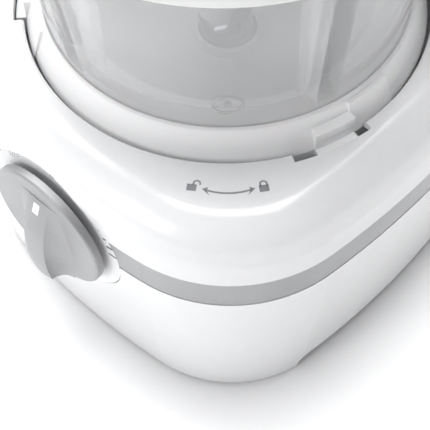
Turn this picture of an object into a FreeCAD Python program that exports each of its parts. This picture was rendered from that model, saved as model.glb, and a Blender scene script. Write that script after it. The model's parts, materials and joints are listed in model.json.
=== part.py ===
import FreeCAD, Part

import math
import os

from FreeCAD import Rotation, Vector

# Baby food maker: a steam and blend jug on a motor base, with a water tower behind it.
# The frame has +Z up and the front (dial side) towards -Y. Everything is drawn about the jug's axis, and
# then moved along Y so that the origin is on the floor under the middle of the whole object.
# Sizes are millimetres and angles are degrees, anticlockwise from +X seen from above.

UP = Vector(0, 0, 1)
ALONG_Y = Vector(0, 1, 0)
FAR = 400.0                       # longer than the object, for tools that cut right through

# ---- base housing -------------------------------------------------------------------------
HALF_WIDTH = 101.3                # jug axis to the side face, at the band
FRONT_REACH = 102.1               # jug axis to the front face, at the band
BACK_REACH = 120.0                # jug axis to the back face
SIDE_RADIUS = 362.0               # the plan's bowed sides
FRONT_RADIUS = 342.0              # the plan's bowed front and back
CORNER_RADIUS = 60.2
BASE_HEIGHT = 130.0               # floor to the flat top
SKIRT_BOTTOM = 1.5                # the casing's lower edge
BAND_TOP = BASE_HEIGHT - 29.9
BAND_BOTTOM = BAND_TOP - 14.9
FLOOR_INSET = 6.8                 # how far the lower casing has drawn in at the floor
TOP_FILLET = 18.0                 # the soft roll-over at the top edge
UPPER_WALL = 3.0
LOWER_WALL = 2.8
SEAM_GAP = 0.4                    # the shadow groove above the band
BAND_SET_BACK = 0.25
LIP_WALL = 2.2
LIP_RISE = 6.0                    # how far the lower casing's lip reaches behind the upper casing
LEDGE = 3.0                       # thickness of the ledge that the band and the lip stand on
FIT = 0.3                         # clearance between pieces that don't touch
ARCH_HEIGHT = 8.5                 # hand recesses along the two sides
ARCH_HALF_LENGTH = 63.0
ARCH_ROUND = 6.0
FLOOR_PLATE_BOTTOM = 9.2
FLOOR_PLATE = 2.5
VENT_COUNT = 6
VENT_HALF_LENGTH = 24.0
VENT_FIRST_Y = -34.0
VENT_PITCH = 6.0
VENT_WIDTH = 2.5
FOOT_RADIUS = 9.0
FOOT_X = HALF_WIDTH - 35.3
FOOT_FRONT_Y = 34.1 - FRONT_REACH
FOOT_BACK_Y = BACK_REACH - 34.0
POST_RADIUS = 5.0
POST_TOP = 46.0
POST_X = HALF_WIDTH - 25.3
POST_FRONT_Y = 52.1 - FRONT_REACH
POST_BACK_Y = BACK_REACH - 52.0
SCREW_RADIUS = 1.8
SCREW_HEAD_RADIUS = 3.6
SCREW_HEAD = 2.4
SCREW_SLOT = 0.4                  # half the width of the cross in a screw's head

# ---- jug seat in the top ------------------------------------------------------------------
OPENING_RADIUS = 80.0
OPENING_ROUND = 1.4
LUG_COUNT = 3
LUG_FIRST = -18.0                 # centre of the first locking lug
LUG_HALF_ANGLE = 6.0
NOTCH_RADIUS = OPENING_RADIUS + 3.9
NOTCH_BEFORE = 13.0               # notch start, before the lug's centre
NOTCH_AFTER = 9.0                 # notch end, after the lug's centre
WELL_WALL = 1.5
WELL_FLOOR = 2.2
WELL_FLOOR_TOP = BASE_HEIGHT - 22.0
WELL_BOSS_RADIUS = 14.0
WELL_BOSS_TOP = WELL_FLOOR_TOP + 3.5
WELL_BORE = 12.0
BOWL_TURN = 22.0                  # unlocked to locked

# ---- dial and knob ------------------------------------------------------------------------
DIAL_Z = BAND_TOP - 16.4
DIAL_RADIUS = 34.5
DIAL_FACE_Y = 2.6 - FRONT_REACH
DIAL_THICKNESS = 2.2
DIAL_SKIRT = 3.2
BRACKET_RADIUS = DIAL_RADIUS + 6.5
BRACKET_THICKNESS = 2.4
KNOB_RADIUS = DIAL_RADIUS - 6.0
KNOB_DISC = 3.5                   # thickness of the knob's round base
KNOB_LENGTH = 14.7
KNOB_ROUND = 1.2
KNOB_GAP = 0.4
KNOB_HUB = 2.7                    # how far the hub holds the disc off the dial
KNOB_HUB_RADIUS = KNOB_RADIUS - 8.0
GRIP_BOTTOM = -(KNOB_RADIUS - 1.7)  # the grip's ends and its highest point, from the knob's centre
GRIP_TOP = KNOB_RADIUS - 8.5
GRIP_APEX = -13.0
GRIP_TOP_HEIGHT = 0.5             # how far the crest still stands above the disc at its top end
GRIP_WAIST = 16.5                 # half the grip's width at its foot, where that is widest
GRIP_WAIST_AT = 6.0
GRIP_TAPER = 216.0                # how slowly the foot narrows towards its ends
GRIP_HALF_WIDTH = 5.5             # half the width of the grip's crest
GRIP_CROWN = 0.8
GRIP_HOLLOW = 0.3                 # how full the grip's hollow sides are, 0.5 being flat
GRIP_SECTIONS = 9
POINTER_WIDTH = 3.2
POINTER_LENGTH = 4.4
POINTER_DEPTH = 1.0
POINTER_OFFSET = 16.0             # knob centre to pointer centre
INLAY_FIT = 0.05
DIAL_SHAFT_RADIUS = 3.0
SHAFT_COVER = 6.0                 # knob material left in front of the shaft
SWITCH_SIZE = 34.0
SWITCH_DEPTH = 15.0
SWITCH_ROUND = 3.0
SWITCH_TABS = 5
SWITCH_TAB_PITCH = 6.0
SWITCH_TAB_DROP = 12.0
SWITCH_BUSH_RADIUS = 5.0
NUT_CORNER_RADIUS = 8.2
DIAL_NUT = 2.2

# ---- motor and drive ----------------------------------------------------------------------
MOTOR_RADIUS = 31.0
MOTOR_TOP = WELL_FLOOR_TOP - 18.0
MOTOR_BOTTOM = MOTOR_TOP - 58.0
MOTOR_WALL = 2.5
MOTOR_VENTS = 8
END_BELL = 4.0
MOTOR_PLATE = 3.0
MOTOR_PLATE_RADIUS = 52.0
MOTOR_PLATE_HOLE = 9.0
ISOLATOR_RADIUS = 7.0
ISOLATOR_HEIGHT = 3.0
ISOLATOR_BORE = 2.0
MOTOR_POST_REACH = 44.0
BEARING_RADIUS = 9.0
BEARING_WIDTH = 4.0
SHAFT_RADIUS = 4.0
RUNNING_FIT = 0.05
STATOR_INNER = 21.0
STATOR_SLOTS = 6
STATOR_SLOT_RADIUS = 2.2
STATOR_SLOT_REACH = 24.6
ROTOR_RADIUS = 20.0
ROTOR_SLOTS = 12
CORE_BOTTOM = MOTOR_BOTTOM + 12.0
CORE_TOP = MOTOR_TOP - 10.0
FAN_RADIUS = 27.0
FAN_BLADES = 9
FAN_BOTTOM = MOTOR_BOTTOM - 13.0
FAN_HEIGHT = 10.0
FAN_HUB_RADIUS = 8.0
FAN_SHEET = 1.6
COUPLING_RADIUS = 10.0
COUPLING_BOTTOM = WELL_FLOOR_TOP + 4.4
COUPLING_HUB = 4.6
DOG_HEIGHT = 5.5
DOG_HALF_ANGLE = 15.0
DOG_LEAD = 75.0                   # jug dogs start this far ahead, so that the jug can turn freely

# ---- jug ----------------------------------------------------------------------------------
JUG_BOTTOM = BASE_HEIGHT + 7.0
JUG_HEIGHT = 86.0
JUG_TOP = JUG_BOTTOM + JUG_HEIGHT
JUG_FLOOR = 3.2
JUG_FOOT_RADIUS = OPENING_RADIUS - 8.9
JUG_RIM_RADIUS = JUG_FOOT_RADIUS + 8.5
JUG_WALL = 2.6
JUG_FLANGE_RADIUS = JUG_RIM_RADIUS + 3.4
JUG_FLANGE = 3.4
JUG_CORNER = 12.0                 # inside round between the jug's floor and wall
RIB_ANGLES = (-18.0, -98.0, 82.0, 162.0)
RIB_WIDTH = 14.0
RIB_REACH = JUG_FOOT_RADIUS - 8.6
RIB_TOP = JUG_TOP - 17.0
RIB_WALL = 2.4
COLLAR_BOTTOM = WELL_FLOOR_TOP + 4.0
COLLAR_SKIRT_RADIUS = OPENING_RADIUS - 1.4
COLLAR_SHOULDER = BASE_HEIGHT - 4.0
COLLAR_TOP = JUG_BOTTOM + 2.8
COLLAR_WALL = 2.2
COLLAR_TOP_RADIUS = JUG_FOOT_RADIUS + 2.7
COLLAR_EDGE = 1.2                 # height of the collar's rounded top edge
COLLAR_SEAT_GAP = 0.1             # the jug's floor stands this far off the collar's shelf
COLLAR_SHELF = 3.0
COLLAR_SHELF_WIDTH = 13.1
LUG_TONGUE_RADIUS = NOTCH_RADIUS - 0.6
LUG_TONGUE_BOTTOM = BASE_HEIGHT - 12.0
LUG_PAD_RADIUS = OPENING_RADIUS - 0.7
LUG_PAD_TOP = BASE_HEIGHT + 4.8
RAIL_ANGLE = 15.0                 # raised rail that follows each lug
RAIL_RISE = 1.3
HANDLE_ANGLE = -150.0
HANDLE_REACH = JUG_FLANGE_RADIUS + 27.0
HANDLE_GRIP = 13.0
HANDLE_WIDTH = 20.0
HANDLE_BOTTOM = JUG_BOTTOM + 11.0
HANDLE_TOP = JUG_TOP - 9.0
HANDLE_SOFTEN = 2.6

# ---- blades -------------------------------------------------------------------------------
SPINDLE_RADIUS = 4.0
BUSH_RADIUS = 8.0
BUSH_FLANGE_RADIUS = 12.0
BUSH_BOTTOM = JUG_BOTTOM - 5.0
HUB_RADIUS = 11.0
HUB_SPIGOT = 6.0
HUB_BOTTOM = JUG_BOTTOM + 5.5
BLADE_SEAT = JUG_BOTTOM + 10.0
BLADE_THICKNESS = 1.6
BLADE_TIP_RADIUS = 44.0
BLADE_ANGLE = -56.0
BLADE_HALF_WIDTH = 6.5
LOWER_BLADE_TRIM = 4.0            # how much shorter the lower pair is
UPPER_TIP_RISE = 9.0
LOWER_TIP_DROP = 2.5
NUT_RADIUS = 8.0
NUT_HEIGHT = 7.0
NUT_CROWN = 1.5                   # nut material left above the spindle

# ---- lid ----------------------------------------------------------------------------------
LID_SKIRT_BOTTOM = JUG_TOP - 6.0
LID_RADIUS = JUG_FLANGE_RADIUS + 3.3
LID_WALL = 2.6
LID_LAND = JUG_TOP + 0.3
LID_GROOVE_OUTER = LID_RADIUS - 6.1
LID_GROOVE_INNER = LID_RADIUS - 9.9
LID_GROOVE_TOP = JUG_TOP + 4.2
LID_SHEET = 2.6
LID_MOUTH_RADIUS = 25.5
LID_MOUTH_TOP = JUG_TOP + 14.3
LID_MOUTH_BOTTOM = JUG_TOP + 7.5
LID_MOUTH_WALL = 2.5
SEAL_INSET = 0.4
CAP_FLANGE_RADIUS = LID_MOUTH_RADIUS + 4.5
CAP_TOP = JUG_TOP + 24.0
PORT_ANGLE = 60.0                 # where lid port and nozzle meet once the jug is locked
PORT_REACH = LID_RADIUS + 2.4
PORT_Z = JUG_TOP + 8.0
PORT_BORE = 3.0
PORT_RADIUS = 7.0
PORT_LENGTH = 26.7

# ---- water tower --------------------------------------------------------------------------
TOWER_INSET = 6.0
TOWER_FRONT_RADIUS = LID_RADIUS + 3.7
TOWER_HALF_WIDTH = 72.0
TOWER_START_Y = 20.0
TOWER_WALL = 2.4
TOWER_TOP = JUG_TOP + 18.0
TOWER_ROUND = 7.0
SEAT_GAP = 0.1                    # the tower's foot stands this far off the casing
TANK_LID_TOP = TOWER_TOP + 7.0
TANK_LID_GAP = 0.4
TANK_LID_WALL = 2.2
TANK_LID_ROUND = 2.0
TANK_RIGHT = 30.0
TANK_BOTTOM = BASE_HEIGHT + 11.0
TANK_WALL = 2.0
TANK_RESTS = ((-50.0, BACK_REACH - 28.0), (-20.0, BACK_REACH - 18.0))
TANK_REST_HALF = 5.0
HINGE_Y = BACK_REACH - 9.8
HINGE_Z = TOWER_TOP + 2.6
HINGE_RADIUS = 2.8
HINGE_PIN_RADIUS = 1.2
HINGE_RIB = 2.0
EAR_INNER = 6.0
EAR_OUTER = 14.0
KNUCKLE_OUTER = 24.0
KNUCKLE_SLACK = 0.5
PIPE_RADIUS = 5.0
PIPE_BORE = 3.0
PIPE_REACH = TOWER_FRONT_RADIUS + 16.0
NOZZLE_FLANGE_RADIUS = 8.0
NOZZLE_FLANGE = 1.6
NOZZLE_SEAL_RADIUS = 5.5
BOILER_RADIUS = 17.0
BOILER_BEHIND = 8.4               # riser pipe to boiler axis, towards the jug's axis
BOILER_TOP = WELL_FLOOR_TOP - 20.0
BOILER_BOTTOM = BOILER_TOP - 32.0
BOILER_WALL = 3.0
BOILER_RINGS = 4
BOILER_RING_PITCH = 5.0
STAND_RADIUS = 8.0
STAND_BORE = 5.5
STAND_FLANGE_RADIUS = 14.0
STAND_FLANGE = 3.0
FEED_X = 14.0
FEED_Y = BACK_REACH - 20.0
FEED_RADIUS = 4.0
FEED_BORE = 2.2
FEED_LEVEL = BOILER_BOTTOM + 14.0
FEED_RISE = 4.0                   # how far the feed pipe stands above the base's top
BEND = 8.0

# ---- safety switch, board and gland -------------------------------------------------------
PLUNGER_ANGLE = 180.0
PLUNGER_REACH = COLLAR_SKIRT_RADIUS - 1.1
PLUNGER_RADIUS = 2.0
PLUNGER_ROUND = 1.2
PLUNGER_BOTTOM = WELL_FLOOR_TOP - 9.0
PLUNGER_STROKE = 3.0
RAMP_WIDTH = 18.0
RAMP_LEAD = 3.0                   # how far the ramp runs on past each end of the jug's turn
SPRING_BOTTOM = PLUNGER_BOTTOM - 7.0
SPRING_RADIUS = 1.45
SPRING_WIRE = 0.3
SPRING_COILS = 4
SPRING_SLACK = 0.1
SAFETY_DEPTH = 16.0
SAFETY_WIDTH = 20.0
SAFETY_BOTTOM = WELL_FLOOR_TOP - 22.0
TAB_HALF = 0.4
TAB_LENGTH = 6.0
BOARD_LEFT = 19.3 - HALF_WIDTH
BOARD_RIGHT = BOARD_LEFT + 38.0
BOARD_NEAR = 2.0
BOARD_FAR = 56.0
BOARD_Z = 22.0
BOARD_THICKNESS = 1.6
BOARD_MARGIN = 3.5                # board edge to its standoffs' centres
GLAND_X = BOARD_RIGHT
GLAND_Z = 30.0
GLAND_RADIUS = 7.0
GLAND_BORE = 3.4
GLAND_FLANGE = 2.5
GLAND_LENGTH = 10.0
GLAND_PROUD = 1.2

# ---- derived levels -----------------------------------------------------------------------
PLAN_MIDDLE_Y = (BACK_REACH - FRONT_REACH) / 2
LIP_INSET = UPPER_WALL + FIT
FLOOR_PLATE_TOP = FLOOR_PLATE_BOTTOM + FLOOR_PLATE
TOP_UNDERSIDE = BASE_HEIGHT - UPPER_WALL
JUG_FLOOR_TOP = JUG_BOTTOM + JUG_FLOOR
DIAL_BACK_Y = DIAL_FACE_Y + DIAL_THICKNESS
BRACKET_Y = DIAL_BACK_Y + DIAL_SKIRT
KNOB_BACK_Y = DIAL_FACE_Y - KNOB_GAP
KNOB_DISC_Y = KNOB_BACK_Y - KNOB_HUB - KNOB_DISC
KNOB_FACE_Y = KNOB_BACK_Y - KNOB_LENGTH
MOTOR_PLATE_BOTTOM = MOTOR_TOP + END_BELL
DOG_BOTTOM = COUPLING_BOTTOM + COUPLING_HUB
JUG_HUB_BOTTOM = DOG_BOTTOM + DOG_HEIGHT + 2 * FIT
WELL_TOP = TOP_UNDERSIDE - FIT
WELL_UNDERSIDE = WELL_FLOOR_TOP - WELL_FLOOR
BLADES_TOP = BLADE_SEAT + 2 * BLADE_THICKNESS
CENTRE_SHIFT = -(KNOB_FACE_Y + BACK_REACH) / 2


# ---- geometry helpers ---------------------------------------------------------------------
def polar(radius, angle, z=0.0):
    """The point at a radius and an angle around the jug's axis."""
    turn = math.radians(angle)
    return Vector(radius * math.cos(turn), radius * math.sin(turn), z)


def unit(start, end):
    """The direction from one point to another."""
    step = end - start
    return step / step.Length


def cylinder(radius, z0, z1, x=0.0, y=0.0):
    """An upright cylinder."""
    return Part.makeCylinder(radius, z1 - z0, Vector(x, y, z0), UP)


def tube(outer, inner, z0, z1, x=0.0, y=0.0):
    """An upright ring."""
    return cylinder(outer, z0, z1, x, y).cut(cylinder(inner, z0 - 1, z1 + 1, x, y))


def rod_y(radius, y0, y1, x=0.0, z=DIAL_Z):
    """A cylinder along Y."""
    return Part.makeCylinder(radius, y1 - y0, Vector(x, y0, z), ALONG_Y)


def box(x0, x1, y0, y1, z0, z1):
    """A box between two corners."""
    return Part.makeBox(x1 - x0, y1 - y0, z1 - z0, Vector(x0, y0, z0))


def revolved(points, start=0.0, sweep=360.0):
    """A ring from radius and height points, over all or part of a turn."""
    wire = Part.makePolygon([Vector(r, 0, z) for r, z in points + points[:1]])
    solid = Part.Face(wire).revolve(Vector(0, 0, 0), UP, sweep)
    solid.rotate(Vector(0, 0, 0), UP, start)
    return solid


def sector(inner, outer, z0, z1, centre, half_angle):
    """A block that follows the jug's axis, between two radii and two angles."""
    points = [(inner, z0), (outer, z0), (outer, z1), (inner, z1)]
    return revolved(points, centre - half_angle, 2 * half_angle)


def turned(shape, angle):
    """A copy of a shape turned about the jug's axis."""
    copy = shape.copy()
    copy.rotate(Vector(0, 0, 0), UP, angle)
    return copy


def edges_at(shape, z):
    """The edges that lie wholly at one height."""
    found = []
    for edge in shape.Edges:
        bounds = edge.BoundBox
        if abs(bounds.ZMin - z) < 1e-3 and abs(bounds.ZMax - z) < 1e-3:
            found.append(edge)
    return found


def upright_edges(shape, shortest):
    """The straight vertical edges that are at least a given length."""
    found = []
    for edge in shape.Edges:
        bounds = edge.BoundBox
        slim = bounds.XLength < 1e-3 and bounds.YLength < 1e-3
        if slim and bounds.ZLength >= shortest:
            found.append(edge)
    return found


def pipe(radius, bore, points, bend):
    """A tube of straight runs joined by round bends."""
    edges = []
    start = points[0]
    for corner, after in zip(points[1:-1], points[2:]):
        inward = unit(start, corner)
        outward = unit(corner, after)
        half = inward.getAngle(outward) / 2
        setback = bend * math.tan(half)
        first = corner - inward * setback
        last = corner + outward * setback
        towards = unit(corner, (first + last) / 2)
        middle = corner + towards * (bend / math.cos(half) - bend)
        edges.append(Part.makeLine(start, first))
        edges.append(Part.Arc(first, middle, last).toShape())
        start = last
    edges.append(Part.makeLine(start, points[-1]))
    path = Part.Wire(edges)
    direction = unit(points[0], points[1])
    solids = []
    for size in (radius, bore):
        circle = Part.Wire(Part.makeCircle(size, points[0], direction))
        solids.append(path.makePipeShell([circle], True, True))
    return solids[0].cut(solids[1])


def plan_centres():
    """Centres of the right side's, the front's and the front right corner's arcs."""
    side = Vector(HALF_WIDTH - SIDE_RADIUS, PLAN_MIDDLE_Y, 0)
    front = Vector(0, FRONT_RADIUS - FRONT_REACH, 0)
    to_side = SIDE_RADIUS - CORNER_RADIUS
    to_front = FRONT_RADIUS - CORNER_RADIUS
    apart = (front - side).Length
    along = (to_side ** 2 - to_front ** 2 + apart ** 2) / (2 * apart)
    off = math.sqrt(to_side ** 2 - along ** 2)
    line = unit(side, front)
    corner = side + line * along + Vector(line.y, -line.x, 0) * off
    return side, front, corner


def outline(inset, z):
    """The base's plan as eight tangent arcs, drawn in evenly by an inset."""
    side, front, corner = plan_centres()
    mirror_y = 2 * PLAN_MIDDLE_Y
    to_side = unit(side, corner)
    to_front = unit(front, corner)
    meets_side = side + to_side * (SIDE_RADIUS - inset)
    meets_front = front + to_front * (FRONT_RADIUS - inset)
    bisector = unit(Vector(0, 0, 0), to_side + to_front)
    corner_middle = corner + bisector * (CORNER_RADIUS - inset)

    def place(point, right, near):
        x = point.x if right else -point.x
        y = point.y if near else mirror_y - point.y
        return Vector(x, y, z)

    edges = []
    for right, near in ((True, True), (True, False), (False, False), (False, True)):
        ends = [place(p, right, near) for p in (meets_front, corner_middle, meets_side)]
        edges.append(Part.Arc(*ends).toShape())
    for right in (True, False):
        middle = place(Vector(HALF_WIDTH - inset, PLAN_MIDDLE_Y, 0), right, True)
        start = place(meets_side, right, True)
        edges.append(Part.Arc(start, middle, place(meets_side, right, False)).toShape())
    for near in (True, False):
        middle = place(Vector(0, inset - FRONT_REACH, 0), True, near)
        start = place(meets_front, False, near)
        edges.append(Part.Arc(start, middle, place(meets_front, True, near)).toShape())
    return Part.Wire(Part.__sortEdges__(edges))


def prism(inset, z0, z1):
    """A straight-sided solid of the base's plan."""
    return Part.Face(outline(inset, z0)).extrude(Vector(0, 0, z1 - z0))


def draft_inset(z):
    """How far the lower casing has drawn in at a height."""
    return FLOOR_INSET * (BAND_BOTTOM - z) / BAND_BOTTOM


def drafted(extra, z0, z1):
    """The lower casing's tapering solid, drawn in further by an extra inset."""
    low = outline(draft_inset(z0) + extra, z0)
    high = outline(draft_inset(z1) + extra, z1)
    return Part.makeLoft([low, high], True, True)


def lug_angles():
    """Centre angles of the jug's locking lugs."""
    return [LUG_FIRST + index * 360.0 / LUG_COUNT for index in range(LUG_COUNT)]


def dial_hole():
    """The round hole that the dial plate fills in the front."""
    return rod_y(DIAL_RADIUS + FIT, -FRONT_REACH - 20, BRACKET_Y)


# ---- base housing -------------------------------------------------------------------------
def casing_top_solid():
    """The upper casing's outside shape, without its opening."""
    solid = prism(0, BAND_TOP + SEAM_GAP, BASE_HEIGHT)
    return solid.makeFillet(TOP_FILLET, edges_at(solid, BASE_HEIGHT))


def upper_casing():
    bottom = BAND_TOP + SEAM_GAP
    outer = casing_top_solid()
    inner = prism(UPPER_WALL, bottom, TOP_UNDERSIDE)
    inner = inner.makeFillet(TOP_FILLET - UPPER_WALL, edges_at(inner, TOP_UNDERSIDE))
    shell = outer.cut(inner)
    shell = shell.cut(cylinder(OPENING_RADIUS, TOP_UNDERSIDE - 1, BASE_HEIGHT + 1))
    mouth = [edge for edge in edges_at(shell, BASE_HEIGHT) if edge.BoundBox.XLength < 2.2 * OPENING_RADIUS]
    shell = shell.makeFillet(OPENING_ROUND, mouth)
    middle = (NOTCH_AFTER - NOTCH_BEFORE) / 2
    spread = (NOTCH_AFTER + NOTCH_BEFORE) / 2
    for angle in lug_angles():
        notch = sector(OPENING_RADIUS - 5, NOTCH_RADIUS, TOP_UNDERSIDE - 1, BASE_HEIGHT + 1,
                       angle + middle, spread)
        shell = shell.cut(notch)
    riser = polar(PIPE_REACH, PORT_ANGLE)
    shell = shell.cut(cylinder(PIPE_RADIUS + 2 * FIT, 0, FAR, riser.x, riser.y))
    shell = shell.cut(cylinder(FEED_RADIUS + 2 * FIT, 0, FAR, FEED_X, FEED_Y))
    return shell.cut(dial_hole())


def trim_band():
    band = prism(BAND_SET_BACK, BAND_BOTTOM + FIT, BAND_TOP)
    band = band.cut(prism(LIP_INSET - FIT, BAND_BOTTOM, BAND_TOP + 1))
    return band.cut(dial_hole())


def corner_posts():
    """Screw posts with ribs that tie them to the casing's corners."""
    posts = []
    for x in (-POST_X, POST_X):
        for y in (POST_FRONT_Y, POST_BACK_Y):
            post = cylinder(POST_RADIUS, FLOOR_PLATE_TOP + FIT, POST_TOP, x, y)
            reach = math.copysign(HALF_WIDTH, x)
            rib = box(min(x, reach), max(x, reach), y - 1, y + 1, FLOOR_PLATE_TOP + FIT, POST_TOP)
            posts.append(post.fuse(rib))
    return posts


def lower_casing():
    solid = drafted(0, SKIRT_BOTTOM, BAND_BOTTOM)
    hollow = drafted(LOWER_WALL, SKIRT_BOTTOM, BAND_BOTTOM)
    casing = solid.cut(hollow)
    for post in corner_posts():
        casing = casing.fuse(post.common(solid))
    ledge = prism(1.0, BAND_BOTTOM - LEDGE, BAND_BOTTOM)
    ledge = ledge.cut(prism(LIP_INSET + LIP_WALL, BAND_BOTTOM - LEDGE - 1, BAND_BOTTOM + 1))
    lip = prism(LIP_INSET, BAND_BOTTOM - 1, BAND_TOP + LIP_RISE)
    lip = lip.cut(prism(LIP_INSET + LIP_WALL, BAND_BOTTOM - 2, BAND_TOP + LIP_RISE + 1))
    casing = casing.fuse(ledge).fuse(lip)
    for side in (-1, 1):
        near = side * (HALF_WIDTH - 22)
        far = side * (HALF_WIDTH + 20)
        y0 = PLAN_MIDDLE_Y - ARCH_HALF_LENGTH
        y1 = PLAN_MIDDLE_Y + ARCH_HALF_LENGTH
        arch = box(min(near, far), max(near, far), y0, y1, -5, ARCH_HEIGHT)
        ends = [edge for edge in edges_at(arch, ARCH_HEIGHT) if edge.BoundBox.YLength < 1]
        casing = casing.cut(arch.makeFillet(ARCH_ROUND, ends))
    for x in (-POST_X, POST_X):
        for y in (POST_FRONT_Y, POST_BACK_Y):
            casing = casing.cut(cylinder(SCREW_RADIUS, 0, POST_TOP - 4, x, y))
    casing = casing.cut(dial_hole())
    return casing.cut(rod_y(GLAND_RADIUS, 0, FAR, GLAND_X, GLAND_Z)).removeSplitter()


def base_plate():
    extra = LOWER_WALL + FIT
    plate = Part.Face(outline(draft_inset(FLOOR_PLATE_BOTTOM) + extra, FLOOR_PLATE_BOTTOM))
    plate = plate.extrude(Vector(0, 0, FLOOR_PLATE))
    for x in (-POST_X, POST_X):
        for y in (POST_FRONT_Y, POST_BACK_Y):
            plate = plate.cut(cylinder(SCREW_RADIUS + FIT, 0, BOARD_Z, x, y))
    for index in range(VENT_COUNT):
        y = VENT_FIRST_Y + index * VENT_PITCH
        plate = plate.cut(box(-VENT_HALF_LENGTH, VENT_HALF_LENGTH, y, y + VENT_WIDTH, 0, BOARD_Z))
    for angle in (90, 210, 330):
        foot = polar(MOTOR_POST_REACH, angle)
        top = MOTOR_PLATE_BOTTOM - ISOLATOR_HEIGHT
        plate = plate.fuse(cylinder(POST_RADIUS, FLOOR_PLATE_TOP - 1, top, foot.x, foot.y))
    for x in (BOARD_LEFT + BOARD_MARGIN, BOARD_RIGHT - BOARD_MARGIN):
        for y in (BOARD_NEAR + BOARD_MARGIN, BOARD_FAR - BOARD_MARGIN):
            plate = plate.fuse(cylinder(BOARD_MARGIN - 1, FLOOR_PLATE_TOP - 1, BOARD_Z, x, y))
    return plate.removeSplitter()


def rubber_feet():
    feet = []
    for x in (-FOOT_X, FOOT_X):
        for y in (FOOT_FRONT_Y, FOOT_BACK_Y):
            foot = cylinder(FOOT_RADIUS, 0, FLOOR_PLATE_BOTTOM, x, y)
            feet.append(foot.makeChamfer(1.0, edges_at(foot, 0)))
    return Part.makeCompound(feet)


def base_screws():
    screws = []
    for x in (-POST_X, POST_X):
        for y in (POST_FRONT_Y, POST_BACK_Y):
            head = cylinder(SCREW_HEAD_RADIUS, FLOOR_PLATE_BOTTOM - SCREW_HEAD, FLOOR_PLATE_BOTTOM, x, y)
            cross = SCREW_HEAD_RADIUS - 0.6
            depth = FLOOR_PLATE_BOTTOM - SCREW_HEAD + 1
            head = head.cut(box(x - cross, x + cross, y - SCREW_SLOT, y + SCREW_SLOT, 0, depth))
            head = head.cut(box(x - SCREW_SLOT, x + SCREW_SLOT, y - cross, y + cross, 0, depth))
            screws.append(head.fuse(cylinder(SCREW_RADIUS, FLOOR_PLATE_BOTTOM - 1, POST_TOP - 6, x, y)))
    return Part.makeCompound(screws)


def bowl_well():
    outer = NOTCH_RADIUS + WELL_WALL
    points = [(WELL_BORE, WELL_UNDERSIDE), (outer, WELL_UNDERSIDE), (outer, WELL_TOP), (NOTCH_RADIUS, WELL_TOP),
              (NOTCH_RADIUS, WELL_FLOOR_TOP), (WELL_BOSS_RADIUS, WELL_FLOOR_TOP),
              (WELL_BOSS_RADIUS, WELL_BOSS_TOP), (WELL_BORE, WELL_BOSS_TOP)]
    well = revolved(points)
    seat = polar(PLUNGER_REACH, PLUNGER_ANGLE)
    return well.cut(cylinder(PLUNGER_RADIUS + FIT, 0, FAR, seat.x, seat.y))


def shaft_seal():
    return tube(WELL_BORE, SHAFT_RADIUS + FIT, WELL_FLOOR_TOP - 1, WELL_BOSS_TOP)


# ---- dial, knob and its switch ------------------------------------------------------------
def dial_plate():
    plate = rod_y(DIAL_RADIUS, DIAL_FACE_Y, DIAL_BACK_Y)
    plate = plate.makeFillet(0.5, [e for e in plate.Edges if abs(e.BoundBox.YMax - DIAL_FACE_Y) < 1e-3])
    skirt = rod_y(DIAL_RADIUS, DIAL_BACK_Y, BRACKET_Y)
    skirt = skirt.cut(rod_y(DIAL_RADIUS - DIAL_THICKNESS, DIAL_BACK_Y - 1, BRACKET_Y + 1))
    plate = plate.fuse(skirt)
    return plate.cut(rod_y(SWITCH_BUSH_RADIUS + FIT, DIAL_FACE_Y - 1, BRACKET_Y + 1)).removeSplitter()


def dial_bracket():
    bracket = rod_y(BRACKET_RADIUS, BRACKET_Y, BRACKET_Y + BRACKET_THICKNESS)
    low_room = drafted(LOWER_WALL + FIT, SKIRT_BOTTOM, BAND_BOTTOM - LEDGE)
    high_room = prism(LIP_INSET + LIP_WALL + FIT, BAND_BOTTOM - LEDGE, TOP_UNDERSIDE)
    bracket = bracket.common(low_room.fuse(high_room))
    bracket = bracket.cut(cylinder(NOTCH_RADIUS + WELL_WALL + FIT, WELL_UNDERSIDE - FIT, FAR))
    bracket = bracket.cut(box(-FAR, FAR, -FAR, 0, BASE_HEIGHT - TOP_FILLET + UPPER_WALL, FAR))
    return bracket.cut(rod_y(SWITCH_BUSH_RADIUS, BRACKET_Y - 1, BRACKET_Y + BRACKET_THICKNESS + 1))


def rotary_switch():
    front = BRACKET_Y + BRACKET_THICKNESS
    half = SWITCH_SIZE / 2
    body = box(-half, half, front, front + SWITCH_DEPTH, DIAL_Z - half, DIAL_Z + half)
    body = body.makeFillet(SWITCH_ROUND, [e for e in body.Edges if abs(e.BoundBox.YLength - SWITCH_DEPTH) < 1e-3])
    bush = rod_y(SWITCH_BUSH_RADIUS, DIAL_BACK_Y - 1, front)
    body = body.fuse(bush)
    back = front + SWITCH_DEPTH
    tab_z = DIAL_Z - SWITCH_TAB_DROP
    for index in range(SWITCH_TABS):
        x = (index - (SWITCH_TABS - 1) / 2) * SWITCH_TAB_PITCH
        body = body.fuse(box(x - 1.4, x + 1.4, back - 1, back + TAB_LENGTH, tab_z, tab_z + 2 * TAB_HALF))
    return body.cut(rod_y(DIAL_SHAFT_RADIUS + RUNNING_FIT, -FRONT_REACH, front + SHAFT_COVER + 1))


def switch_nut():
    corners = []
    for side in range(7):
        corner = polar(NUT_CORNER_RADIUS, side * 60)
        corners.append(Vector(corner.x, BRACKET_Y - DIAL_NUT, DIAL_Z + corner.y))
    nut = Part.Face(Part.makePolygon(corners)).extrude(Vector(0, DIAL_NUT, 0))
    return nut.cut(rod_y(SWITCH_BUSH_RADIUS, BRACKET_Y - DIAL_NUT - 1, BRACKET_Y + 1))


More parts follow.
